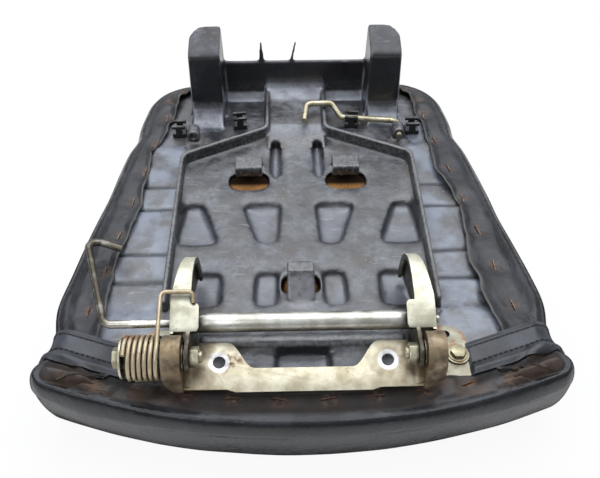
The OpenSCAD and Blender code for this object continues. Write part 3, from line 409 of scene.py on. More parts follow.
# Painted shade: a dark band along the grooves between the deck panels.
colour = f.tint(f.times(f.mask("step"), 0.85), colour, (0.0325, 0.0338, 0.0403))
# Brown grime and painted shade in the tight corners, less in the pockets.
grime_and_corner_shade = f.times(f.crevice(0.016), f.rise(f.mottle(0.02, 4), 0.35, 0.75, 0.1, 0.8))
grime_and_corner_shade = f.times(grime_and_corner_shade, f.rise(f.mask("lit_pocket_floor"), 0.0, 1.0, 1.0, 0.25))
colour = f.tint(grime_and_corner_shade, colour, (0.0182, 0.0143, 0.0117))
stain = f.times(up, f.rise(f.mottle(0.030, 6), 0.54, 0.70, 0.0, 0.6))
colour = f.tint(stain, colour, (0.0754, 0.0559, 0.0442))
scuff = f.times(f.worn_edge(0.515, 0.58), f.rise(f.mottle(0.007, 4), 0.38, 0.60, 0.15, 1.0))
colour = f.tint(scuff, colour, (0.234, 0.2314, 0.234))
scratches = f.times(up, f.rise(f.mottle(0.008, 4, (0.5, 2.6, 1.0)), 0.58, 0.70, 0.0, 0.55))
colour = f.tint(f.times(scratches, f.rise(f.mottle(0.04, 2), 0.42, 0.58)), colour, (0.26, 0.26, 0.286))
over_deck = f.rise(f.part(2), DECK_Z + 0.001, DECK_Z + 0.004)
wall = f.times(over_deck, f.rise(f.part(2), WALL_TOP, WALL_TOP + 0.006, 1.0, 0.0))
wall_dust = f.times(wall, f.rise(f.mottle(0.003, 5), 0.38, 0.68, 0.1, 0.8))
colour = f.tint(f.times(wall_dust, f.rise(f.part(1), 0.10, 0.13, 1.0, 0.3)), colour, (0.1495, 0.1469, 0.1495))
ramp = f.near((0, RAMP_Y, DECK_Z + 0.006), 0.011, 0.017)
colour = f.tint(f.times(ramp, f.rise(f.mottle(0.006, 4), 0.3, 0.6, 0.4, 0.9)), colour, (0.234, 0.234, 0.26))
# Painted sheen: a bright band across the horn flares, where they turn from the front face to the deck.
toward = f.facing(1)
flare_sheen = f.times(f.rise(toward, -0.97, -0.6), f.rise(toward, -0.32, -0.04, 1.0, 0.0))
low_down = f.rise(f.part(2), 0.088, 0.102, 1.0, 0.0)
flare_sheen = f.times(flare_sheen, f.times(f.rise(f.part(1), HORN_FROM, HORN_FROM + 0.020), low_down))
colour = f.tint(f.times(flare_sheen, f.rise(f.mottle(0.012, 4), 0.3, 0.65, 0.35, 0.95)), colour, (0.34, 0.36, 0.43))
flecks = f.times(f.rise(f.cells(0.006), 0.10, 0.16, 1.0, 0.0), f.rise(f.mottle(0.03, 2), 0.5, 0.62))
colour = f.tint(f.times(up, flecks), colour, (0.208, 0.1924, 0.1716))
f.set("Base Color", colour)
horn_tops = f.times(f.rise(f.part(2), HORN_TOP, HORN_TOP + 0.012), up)
smeared = f.plus(f.times(dust, 0.22), f.plus(f.times(stain, 0.25), f.times(horn_tops, 0.35)))
f.set("Roughness", f.plus(f.rise(clouds, 0.3, 0.75, 0.24, 0.40), smeared))
f.relief((f.mottle(0.030, 3), 1.3 * MM), (f.mottle(0.007, 3), 0.22 * MM), (specks, 0.07 * MM))

pan_mesh = modified_copy(solids["seat_pan"], "seat_pan_moulding", [
    ("WELD", {"merge_threshold": WELD_GAP}),
    ("REMESH", {"mode": "VOXEL", "voxel_size": PAN_VOXEL, "use_smooth_shade": True}),
    ("SMOOTH", {"factor": 0.5, "iterations": 3}),
])
dense_pan = bpy.data.objects.new("dense_pan", pan_mesh)
thinning = min(1.0, PAN_FACES / (2 * len(pan_mesh.polygons)))
pan_mesh = modified_copy(dense_pan, "seat_pan_moulding", [("DECIMATE", {"ratio": thinning})])
bpy.data.objects.remove(dense_pan)
spots = points_of(pan_mesh)
far_out = np.abs(spots[:, 0]) > TRAY_HALF
side = far_out & (spots[:, 2] < SIDE_TOP) & (spots[:, 1] < SIDE_NOSE)
in_tray = ~far_out & (spots[:, 2] < DECK_Z + 0.002) & (spots[:, 2] > DECK_Z - POCKET_LOW)
relax(pan_mesh, np.where(in_tray & (spots[:, 1] < TRAY_NOSE), 0.5, 0.0), TRAY_ROUNDING)
spots = points_of(pan_mesh)
relax(pan_mesh, np.where((spots[:, 1] > 0.10) & (spots[:, 2] > DECK_Z + 0.001), 0.4, 0.0), NOSE_ROUNDING)
spots = points_of(pan_mesh)
add_mask(pan_mesh, "side_deck", side)
add_mask(pan_mesh, "lit_pocket_floor", in_tray & (spots[:, 2] < DECK_Z - 0.0035))
on_deck = side & (np.abs(spots[:, 2] - DECK_Z) < 0.002)
panel = np.interp(spots[:, 1], PANEL_STEPS, np.arange(len(PANEL_STEPS))) % 1
waves = np.array([noise.noise(Vector(spot) / WAVE_LONG) for spot in spots[on_deck]])
# The grooves between the deck panels: sunk a little, and given painted shade in the colour.
step = np.max([np.exp(-(((spots[:, 1] - y) / STEP_WIDE) ** 2)) for y in PANEL_STEPS[2:6]], axis=0) * side
add_mask(pan_mesh, "step", step)
spots[on_deck, 2] += PANEL_RISE * (panel[on_deck] - 0.5) + WAVE * waves - STEP_DEEP * step[on_deck]
put_points(pan_mesh, spots)
smooth_faces(pan_mesh)
new_piece("pan_moulding", pan_mesh, pan_plastic, stands_for=["seat_pan"])

# The foam: a block of orange-brown polyurethane foam, moulded to the pan and pressed under the
# cover. Only the pan's windows show it, with its open cells and crumbled skin; its hollows are painted
# dark as shade, and the far part of each window nearly black as the shadow of the tongue over it.
FOAM_VOXEL, FOAM_IN = 3.0 * MM, 0.5 * MM
WINDOW_FAR_EDGE = 0.0445

foam_finish = Finish("aged_foam", roughness=0.95, specular=0.1)
f = foam_finish
pores = f.cells(0.0016)
colour = f.tint(f.mottle(0.012, 4), (0.234, 0.1066, 0.0338), (0.442, 0.2275, 0.0858))
colour = f.tint(f.rise(pores, 0.1, 0.45, 0.6, 0.0), colour, (0.208, 0.091, 0.026))
# Painted shade in the foam's hollows.
colour = f.tint(f.rise(f.crevice(0.022), 0.1, 0.75), colour, (0.026, 0.0117, 0.0052))
# Painted shadow: the far part of each window, under its tongue, is painted nearly black.
colour = f.tint(f.rise(f.part(1), WINDOW_FAR_EDGE, WINDOW_FAR_EDGE + 0.006), colour, (0.0156, 0.0078, 0.0039))
f.set("Base Color", colour)
f.relief((pores, 0.8 * MM), (f.mottle(0.005, 3), 1.0 * MM))

foam_mesh = modified_copy(solids["foam_cushion"], "foam_block", [
    ("WELD", {"merge_threshold": WELD_GAP}),
    ("REMESH", {"mode": "VOXEL", "voxel_size": FOAM_VOXEL, "use_smooth_shade": True}),
])
smooth_faces(foam_mesh)
normals = np.array([v.normal for v in foam_mesh.vertices])
put_points(foam_mesh, points_of(foam_mesh) - normals * FOAM_IN)
foam = new_piece("foam_block", foam_mesh, foam_finish, stands_for=["foam_cushion"])

# The cover: one skin of black grained vinyl, pulled over the foam, rolled over the edge of the pan
# and stapled to its deck. Its cut edge is wavy, and the rolled end's corners are gathered into pleats.
END_Y, NOSE_Y = -211.0, 211.0
CROWN_RISE, BELLY_Z, FLAP_TOP = 9.0, 54.0, 64.0
BELLY_TUCK, ROLL_R, CROWN_FLAT = 19.0, 9.0, 0.45
LIP_RISE, LIP_ROLL, LIP_FADE = 4.2, 4.5, 7.0
KNOT_X, KNOT_Y = 142.0, -175.0
NOTCH_Y, NOTCH_IN, NOTCH_LENGTH = -134.0, 11.0, 27.0
DENT_Y, DENT_IN, DENT_LENGTH = 115.0, 2.5, 14.0
ARC_STEPS = (120, 46, 46, 60, 46, 46)
SIDE_STEPS = {1: 110, 4: 110}
SKIN = 1.5 * MM
CLOTH_FRAMES, CLOTH_EVENING, CLOTH_MOST = 20, 40, 2.5 * MM
CLOTH = {
    "quality": 4, "mass": 0.3, "tension_stiffness": 18, "compression_stiffness": 18, "shear_stiffness": 8,
    "bending_stiffness": 1.2, "use_pressure": True, "uniform_pressure_force": 4, "shrink_min": -0.012,
    "vertex_group_mass": "held",
}
WIDER_RIGHT = (-165, -123, -93, -49, 13, 55, 90, 120), (0, 17, 16, 9, 0, 7, 3, 0)
WIDER_LEFT = (-165, -140, -103, -61, 29, 93, 120), (0, 9, 6, 0, 0, -8, 0)


def plan_circles(half_end, half_nose, y_end, y_nose, r_end, r_nose, shoulder, bow):
    """Six circles [x, y, r] that an outline of the saddle is drawn round, as in the part's plan."""
    ex, nx = half_end - r_end, half_nose - r_nose
    ny, nh = y_nose - bow - r_nose, bow + r_nose
    end_arc = (ex * ex + shoulder * shoulder - r_end * r_end) / (2 * (shoulder - r_end))
    nose_arc = (nx * nx + nh * nh - r_nose * r_nose) / (2 * bow)
    return [(0, y_end + end_arc, end_arc), (ex, y_end + shoulder, r_end), (nx, ny, r_nose),
            (0, y_nose - nose_arc, nose_arc), (-nx, ny, r_nose), (-ex, y_end + shoulder, r_end)]


def leaving_angle(a, b):
    gap = math.hypot(b[0] - a[0], b[1] - a[1])
    lean = math.asin(max(-1, min(1, (a[2] - b[2]) / gap)))
    return math.atan2(b[1] - a[1], b[0] - a[0]) - math.pi / 2 + lean


def belt(circles, grow):
    """The closed outline round the circles, all grown by one amount, from the rolled end to the right."""
    line = []
    for i, (x, y, r) in enumerate(circles):
        after = circles[(i + 1) % 6]
        first = leaving_angle(circles[i - 1], circles[i])
        last = leaving_angle(circles[i], after)
        sweep = (last - first) % (2 * math.pi)
        for k in range(ARC_STEPS[i]):
            a = first + sweep * k / ARC_STEPS[i]
            line.append((x + (r + grow) * math.cos(a), y + (r + grow) * math.sin(a)))
        out = np.array((math.cos(last), math.sin(last)))
        start = np.array((x, y)) + (r + grow) * out
        stop = np.array(after[:2]) + (after[2] + grow) * out
        for k in range(SIDE_STEPS.get(i, 0)):
            line.append(tuple(start + (stop - start) * k / SIDE_STEPS[i]))
    return np.array(line)


def bump(values, middle, length):
    return np.exp(-(((values - middle) / length) ** 2))


def swell(values, low, high):
    t = np.clip((values - low) / (high - low), 0, 1)
    return t * t * (3 - 2 * t)


def cloud(points, size, seed=0.0):
    """Smooth noise from -1 to 1 at points in millimetres, with features of about that size."""
    shift = Vector((seed, -seed * 0.7, seed * 1.3))
    return np.array([noise.noise(Vector(p) / size + shift) for p in points])


cushion_circles = plan_circles(half_end=203, half_nose=151, y_end=END_Y, y_nose=NOSE_Y,
                               r_end=22, r_nose=51, shoulder=55, bow=4)
flap_circles = plan_circles(half_end=161, half_nose=118, y_end=-183, y_nose=191,
                            r_end=30, r_nose=22, shoulder=41, bow=1)


def cushion_line(grow, share=1.0):
    line = belt(cushion_circles, grow)
    notch, dent = bump(line[:, 1], NOTCH_Y, NOTCH_LENGTH), bump(line[:, 1], DENT_Y, DENT_LENGTH)
    line[:, 0] -= np.sign(line[:, 0]) * share * (NOTCH_IN * notch + DENT_IN * dent)
    return line


def lip_share(y):
    return 1 - swell(y, -166, -138)


def rolled_line(a):
    """The line at one angle of the roll, which is tighter where its lip stands up, round the hinge end."""
    wide, tight = cushion_line(-ROLL_R * (1 - math.cos(a))), cushion_line(-LIP_ROLL * (1 - math.cos(a)))
    return wide + (tight - wide) * lip_share(wide[:, 1])[:, None]


staple_spots = []
loose = bmesh.new()
loose.from_mesh(solids["staples"].data)
bmesh.ops.remove_doubles(loose, verts=loose.verts, dist=0.00001)
waiting = set(loose.verts)
while waiting:
    group, edge = [], [waiting.pop()]
    while edge:
        v = edge.pop()
        group.append(v.co / MM)
        for link in v.link_edges:
            other = link.other_vert(v)
            if other in waiting:
                waiting.remove(other)
                edge.append(other)
    group = np.array(group)
    middle = (group.min(0) + group.max(0)) / 2
    spread = group[:, :2] - middle[:2]
    way = np.linalg.svd(spread, full_matrices=False)[2][0]
    angle = (math.atan2(way[1], way[0]) + math.pi / 4) % math.pi - math.pi / 4
    staple_spots.append((middle[0], middle[1], angle))
loose.free()
staple_spots.sort()

levels = []
for s in (0.12, 0.24, 0.36, 0.45, 0.56, 0.66, 0.75, 0.83, 0.90, 0.96):
    line = cushion_line(-BELLY_TUCK, 0) * s
    rise = CROWN_RISE * max(0, (s - CROWN_FLAT) / (1 - CROWN_FLAT)) ** 2
    levels.append((line, np.full(len(line), rise), 0.0, 0.0))
for a in np.radians(np.linspace(0, 90, 18)):
    line = cushion_line(-BELLY_TUCK * (1 - math.sin(a)), math.sin(a) ** 2)
    rise = CROWN_RISE + (BELLY_Z - CROWN_RISE) * (1 - math.cos(a))
    levels.append((line, np.full(len(line), rise), 0.0, 0.0))
for a in np.radians(np.linspace(0, 90, 11)[1:]):
    line = rolled_line(a)
    rise = BELLY_Z + (FLAP_TOP - BELLY_Z) * math.sin(a) + LIP_RISE * lip_share(line[:, 1]) * math.sin(a) ** 2
    levels.append((line, rise, math.sin(a) ** 2, 0.0))
rolled, cut = rolled_line(math.pi / 2), belt(flap_circles, 0)
cut_flat = np.c_[cut, np.zeros(len(cut))]
ragged = cloud(cut_flat, 26, 3.1) * 4.5 + cloud(cut_flat, 7, 9.0) * 1.1
inward = rolled - cut
inward /= np.linalg.norm(inward, axis=1)[:, None]
quiet = swell(cut[:, 1], -176, -150) * (1 - swell(cut[:, 1], 150, 176))
wider = np.where(cut[:, 0] > 0, np.interp(cut[:, 1], *WIDER_RIGHT), np.interp(cut[:, 1], *WIDER_LEFT))
cut = cut + inward * (ragged * (0.25 + 0.75 * quiet) - wider)[:, None]
beside = np.abs(cut[:, 0])
cut[:, 1] += (10 * swell(beside, 45, 75) + 5 * swell(beside, 121, 128)) * (1 - swell(cut[:, 1], -180, -150))
cut_turn = np.arctan2(cut[:, 1] + 142, beside - 131)
tucked = 0.6 * swell(cut_turn, -1.6, -1.0) * (1 - swell(cut_turn, -0.6, 0.0))
tucked *= (cut[:, 1] < -120)
cut += (np.c_[np.sign(cut[:, 0]) * KNOT_X, np.full(len(cut), KNOT_Y)] - cut) * tucked[:, None]
flap_length = np.linalg.norm(cut - rolled, axis=1)
for t in np.linspace(0, 1, 25)[1:] ** 1.15:
    line = rolled + (cut - rolled) * t
    lip = LIP_RISE * lip_share(rolled[:, 1]) * bump(flap_length * t, 0, LIP_FADE)
    levels.append((line, FLAP_TOP + lip, 1.0, t))

ring = len(rolled)
plan = np.concatenate([level[0] for level in levels])
height = np.concatenate([level[1] for level in levels])
on_top = np.repeat([level[2] for level in levels], ring)
to_cut = np.repeat([level[3] for level in levels], ring)

# Height of the flap: puffed between the staples, bunched in the corners, curled at the cut edge.
flap = on_top > 0
x, y = plan[flap, 0], plan[flap, 1]
from_roll = (to_cut.reshape(-1, ring) * flap_length).ravel()[flap]
spot_gap = np.min([np.hypot(x - sx, y - sy) for sx, sy, _ in staple_spots], axis=0)
puff = 1.5 * swell(spot_gap, 2, 17) * swell(to_cut[flap], 0.02, 0.35)
flat = np.c_[x, y, np.zeros(len(x))]
curl = 3.4 * swell(to_cut[flap], 0.70, 1.0) * (0.35 + 0.65 * np.clip(cloud(flat, 22, 5.0) + 0.45, 0, 1))
curl *= swell(spot_gap, 4, 14)
band_middle = -136 - 21 * np.clip((188 - np.abs(x)) / 66, 0, 1)
loose_skin = np.where(y < -100, swell(np.abs(y - band_middle), 13, 20), 1) * swell(y, -186, -166)
curl *= loose_skin
crease = 1 - np.abs(cloud(flat * (1, 0.6, 1), 17, 21.0)) * 2.2
soft = 0.8 * cloud(flat, 21, 1.7) + 0.4 * cloud(flat, 9, 2.2) + 0.9 * np.clip(crease - 0.45, 0, 1)
pleat = np.zeros(len(x))
dust = np.zeros(len(x))
painted_shade = np.zeros(len(x))
for s, phase in ((-1, -0.2), (1, 0.15)):
    dx, dy = s * x - KNOT_X, y - KNOT_Y
    reach, turn = np.hypot(dx, dy), np.arctan2(dy, dx)
    window = swell(turn, -2.3, -1.9) * (1 - swell(turn, 0.55, 0.85)) * (1 - swell(reach, 40, 56))
    wander = 0.16 * cloud(flat, 20, 4.0 + s)
    folds = np.abs(np.sin(6.3 * (turn + wander) + phase)) ** 0.8
    pleat += 13.0 * window * swell(reach, 3, 13) * swell(from_roll, 3, 10) * (folds - 0.3)
    # Painted shade in the valleys between the pleats.
    painted_shade = np.maximum(painted_shade, window * swell(from_roll, 3, 8) * (1 - folds) ** 1.5)
    knot = 1 - swell(reach, 5, 12)
    pleat += knot * 4.0 * (0.6 + np.abs(cloud(flat, 9, 8.0 + s)))
    dust = np.maximum(dust, window * swell(from_roll, 2, 9) * (1 - 0.55 * folds * swell(reach, 4, 20)))
    nose_turn = np.arctan2(y - 148, s * x - 82)
    nose_reach = np.hypot(y - 148, s * x - 82)
    nose_window = swell(nose_turn, -0.15, 0.3) * (1 - swell(nose_turn, 1.3, 1.75)) * swell(nose_reach, 18, 30)
    gathers = np.abs(np.sin(7.5 * nose_turn + 0.8 * cloud(flat, 12, 6.0 + s) + phase))
    pleat += nose_window * swell(to_cut[flap], 0.05, 0.7) * (3.2 * gathers - 0.7)
    dust = np.maximum(dust, 0.8 * nose_window * (1 - gathers) * swell(to_cut[flap], 0.1, 0.6))
# Under each band's hem the pleats are flattened and painted shade is laid along it.
under_hem = bump(y - (band_middle - 18.5), 0, 4.5) * swell(np.abs(x), 118, 126) * swell(from_roll, 2, 6)
pleat *= 1 - under_hem
painted_shade = np.maximum(painted_shade, under_hem)
drape = np.abs(np.sin(x / 13 + 0.9 * cloud(flat, 25, 14.0)))
drape *= swell(np.abs(x), 60, 80) * (1 - swell(np.abs(x), 122, 138))
pleat += 3.0 * drape * (1 - swell(y, -178, -168)) * swell(from_roll, 5, 12) * swell(spot_gap, 3, 12)
trough = (1 - swell(y, -178, -168)) * swell(from_roll, 4, 9)
dust = np.maximum(dust, 0.8 * trough * (0.55 + 0.6 * cloud(flat, 14, 7.0)))
# Painted shadow of the hinge base on the flap in front of it.
painted_shade = np.maximum(painted_shade, trough * (1 - swell(np.abs(x), 70, 100)) * (1 - swell(y, -168, -160)))
height[flap] += on_top[flap] * (loose_skin * (puff + soft * 0.6 * swell(from_roll, 1, 7)) + curl + pleat)
height[flap] = np.maximum(height[flap], np.where(to_cut[flap] > 0, FLAP_TOP - 0.4, 0))
belly = ~flap & (height > 12)
sag = cloud(np.c_[plan[belly] * (1, 0.55), height[belly]], 34, 12.0) * 1.1
grip = swell(height[belly], 12, 26)
lean = plan[belly] / np.linalg.norm(plan[belly], axis=1)[:, None]
plan[belly] -= lean * ((0.6 + sag) * grip)[:, None]

skin_points = np.concatenate([np.zeros((1, 3)), np.c_[plan, height] * MM])
faces = [(0, 1 + (j + 1) % ring, 1 + j) for j in range(ring)]
for i in range(len(levels) - 1):
    for j in range(ring):
        a, b = 1 + i * ring + j, 1 + i * ring + (j + 1) % ring
        faces.append((a, b, b + ring, a + ring))
cover_mesh = bpy.data.meshes.new("vinyl_cover")
cover_mesh.from_pydata([tuple(p) for p in skin_points], [], faces)
cover_mesh.update()
on_flap = {"grime": np.clip(dust, 0, 1), "painted_shade": np.clip(painted_shade, 0, 1), "rust": bump(spot_gap, 0, 5.0)}
for mask_name, values in on_flap.items():
    whole = np.zeros(len(skin_points))
    whole[1:][flap] = values
    add_mask(cover_mesh, mask_name, whole)
add_mask(cover_mesh, "cut_edge", np.concatenate([[0], swell(to_cut, 0.93, 1.0)]))
add_mask(cover_mesh, "turned_in", np.concatenate([[0], np.where(to_cut > 0, 1.0, 0.0)]))

vinyl = Finish("grained_black_vinyl", roughness=0.34, specular=0.47)
f = vinyl
up = f.facing_up()
# A dust film on what faces up, with a painted sheen in it.
dust_film_and_sheen = f.times(up, f.rise(f.mottle(0.024, 5), 0.34, 0.68, 0.0, 1.0))
colour = f.tint(dust_film_and_sheen, (0.0075, 0.0081, 0.0111), (0.024, 0.026, 0.034))
# Painted reflection: outward, sideways-facing faces are painted lighter, as the white floor reflected in
# them.
upright = f.rise(f.facing(2), 0.15, 0.6, 0.85, 0.0)
painted_floor_reflection = f.times(f.rise(f.mask("turned_in"), 0.0, 0.4, 1.0, 0.0), upright)
colour = f.tint(painted_floor_reflection, colour, (0.074, 0.0745, 0.080))
grime = f.times(f.mask("grime"), f.rise(f.mottle(0.008, 5), 0.34, 0.6, 0.35, 1.0))
colour = f.tint(grime, colour, (0.1365, 0.0858, 0.0572))
# Painted shade: pleat valleys, the strip under each band hem and the hinge base's shadow go nearly black.
colour = f.tint(f.times(f.mask("painted_shade"), 0.85), colour, (0.0091, 0.0072, 0.0059))
rusty = f.times(f.mask("rust"), f.rise(f.mottle(0.004, 4), 0.45, 0.65, 0.0, 0.8))
colour = f.tint(rusty, colour, (0.169, 0.0754, 0.0364))
colour = f.tint(f.mask("cut_edge"), colour, (0.0975, 0.091, 0.0832))
f.set("Base Color", colour)
grime_and_shade = f.plus(grime, f.mask("painted_shade"))
dulled = f.plus(f.times(f.mask("turned_in"), 0.12), f.times(grime_and_shade, 0.45))
f.set("Roughness", f.plus(f.rise(f.mottle(0.018, 3), 0.3, 0.7, 0.19, 0.31), dulled))
f.relief((f.mottle(0.013, 4), 1.0 * MM), (f.mottle(0.004, 3), 0.22 * MM), (f.cells(0.0011), 0.05 * MM))

cover = new_piece("vinyl_cover", cover_mesh, vinyl, body=None, stands_for=["seat_cover"])
# The stuffed skin is blown out a little with its crown, its staples and its cut edge held.
held = np.concatenate([[1.0], np.where(height < 13, 1.0, 0.0)])
tied = np.maximum(bump(spot_gap, 0, 8), swell(to_cut[flap], 0.1, 0.45))
held[1:][flap] = np.maximum(held[1:][flap], tied)
group = cover.vertex_groups.new(name="held")
for index in np.nonzero(held > 0.02)[0]:
    group.add([int(index)], float(held[index]), "REPLACE")
cloth = cover.modifiers.new("blown_out", "CLOTH")
for setting, value in CLOTH.items():
    setattr(cloth.settings, setting, value)
cloth.settings.effector_weights.gravity = 0
cloth.collision_settings.use_collision = False
cloth.point_cache.frame_start, cloth.point_cache.frame_end = 1, CLOTH_FRAMES
for step in range(1, CLOTH_FRAMES + 1):
    scene.frame_set(step)
blown = cover.evaluated_get(bpy.context.evaluated_depsgraph_get())
moved = points_of(blown.data) - skin_points
broad = moved[1:].reshape(len(levels), ring, 3)
for _ in range(CLOTH_EVENING):
    broad = (np.roll(broad, 1, axis=1) + 2 * broad + np.roll(broad, -1, axis=1)) / 4
    broad[1:-1] = (broad[:-2] + 2 * broad[1:-1] + broad[2:]) / 4
moved[1:] = broad.reshape(-1, 3) * (1 - held[1:, None])
far = np.linalg.norm(moved, axis=1)
moved *= np.minimum(1, CLOTH_MOST / np.maximum(far, 1e-9))[:, None]
cover.modifiers.clear()
cover.vertex_groups.clear()
scene.frame_set(1)
settled = skin_points + moved
settled[:, 2] = np.maximum(settled[:, 2], 0.0)
put_points(cover_mesh, settled)
skin_points = settled
smooth_faces(cover_mesh)
thick = cover.modifiers.new("thickness", "SOLIDIFY")
thick.thickness = SKIN
thick.offset = -1
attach(cover, "seat")

# The corner bands: strips of the same vinyl, each sewn down with two rows of thread across the gather
# beside a corner of the rolled end, from the foot plate over the rolled edge and down the side.
BAND_Y, BAND_HALF, BAND_THICK = -136.0, 14.5, 1.1
BAND_X, BAND_SLANT, BAND_LOW = 120.5, 21.0, 64.6
BAND_ROWS, BAND_COLUMNS = 90, 36
BAND_LEVELS, BAND_UNDER, SEAM_WIDE, SEAM_DEEP = 15, 0.6, 0.045, 0.6
HEM_AT, HEM_WIDE, HEM_RISE = -0.72, 0.2, 1.5
SEAMS = (-0.34, 0.67)
STITCH, STITCH_STEP, STITCH_FINE, THREAD = 3.6, 4.8, 0.4, 0.5


def sweep(points, radius, sides=14):
    """Points and faces of a round wire along a line of points."""
    points = np.asarray(points, float)
    way = np.gradient(points, axis=0)
    way /= np.linalg.norm(way, axis=1)[:, None]
    out = np.cross(way[0], (0.31, 0.27, 0.91))
    rings = []
    turns = np.linspace(0, 2 * math.pi, sides, endpoint=False)
    for place, along in zip(points, way):
        out = out - along * (out @ along)
        out /= np.linalg.norm(out)
        other = np.cross(along, out)
        rings.append(place + radius * (np.outer(np.cos(turns), out) + np.outer(np.sin(turns), other)))
    count = len(points)
    walls = []
    for i in range(count - 1):
        for j in range(sides):
            a, b = i * sides + j, i * sides + (j + 1) % sides
            walls.append((a, b, b + sides, a + sides))
    caps = [tuple(range(sides))[::-1], tuple(range((count - 1) * sides, count * sides))]
    return np.concatenate(rings), walls + caps


def joined_mesh(name, shapes):
    """One mesh in metres from several (points in millimetres, faces)."""
    points, faces, count = [], [], 0
    for shape_points, shape_faces in shapes:
        points.append(shape_points)
        faces += [tuple(index + count for index in face) for face in shape_faces]
        count += len(shape_points)
    mesh = bpy.data.meshes.new(name)
    mesh.from_pydata([tuple(p) for p in np.concatenate(points) * MM], [], faces)
    mesh.update()
    smooth_faces(mesh, 50)
    return mesh


def even_line(points, count):
    """The same line with its points evenly spaced."""
    points = np.asarray(points, float)
    run = np.concatenate([[0], np.cumsum(np.linalg.norm(np.diff(points, axis=0), axis=1))])
    return np.stack([np.interp(np.linspace(0, run[-1], count), run, points[:, i]) for i in range(3)], axis=1)


skin_grid = skin_points[1:].reshape(len(levels), ring, 3) / MM
rolled_level = next(i for i, level in enumerate(levels) if level[3] > 0) - 1
belly_level = rolled_level - BAND_LEVELS
side_run = ARC_STEPS[1] + SIDE_STEPS[1]
right_side = list(range(ARC_STEPS[0], ARC_STEPS[0] + side_run))
left_side = list(range(ring - 1, ring - 1 - side_run, -1))

band_vinyl = Finish("band_vinyl", roughness=0.36, specular=0.5)
f = band_vinyl
colour = f.tint(f.rise(f.mottle(0.02, 4), 0.3, 0.7), (0.0156, 0.0169, 0.0221), (0.0468, 0.0507, 0.0663))
colour = f.tint(f.times(f.crevice(0.006), f.mottle(0.006, 3)), colour, (0.0455, 0.0338, 0.026))
# Dark seams, and painted shade along the band's lower edge and underside.
colour = f.tint(f.times(f.mask("seam"), 0.9), colour, (0.0065, 0.0065, 0.0078))
f.set("Base Color", colour)
f.set("Roughness", f.rise(f.mottle(0.01, 3), 0.3, 0.7, 0.3, 0.45))
f.relief((f.mottle(0.012, 4), 0.6 * MM), (f.mottle(0.004, 3), 0.15 * MM), (f.cells(0.0011), 0.05 * MM))
thread = Finish("sewing_thread", roughness=0.7, specular=0.2)
f = thread
f.set("Base Color", f.tint(f.mottle(0.004, 3), (0.0104, 0.0104, 0.0117), (0.0455, 0.0442, 0.0429)))
f.relief((f.mottle(0.0006, 2), 0.1 * MM))
skin_tree = BVHTree.FromPolygons([tuple(p) for p in skin_points / MM], faces)


def skin_top(x, y):
    hit = skin_tree.ray_cast(Vector((x, y, 200)), Vector((0, 0, -1)))[0]
    return max(hit.z if hit else 0, BAND_LOW)


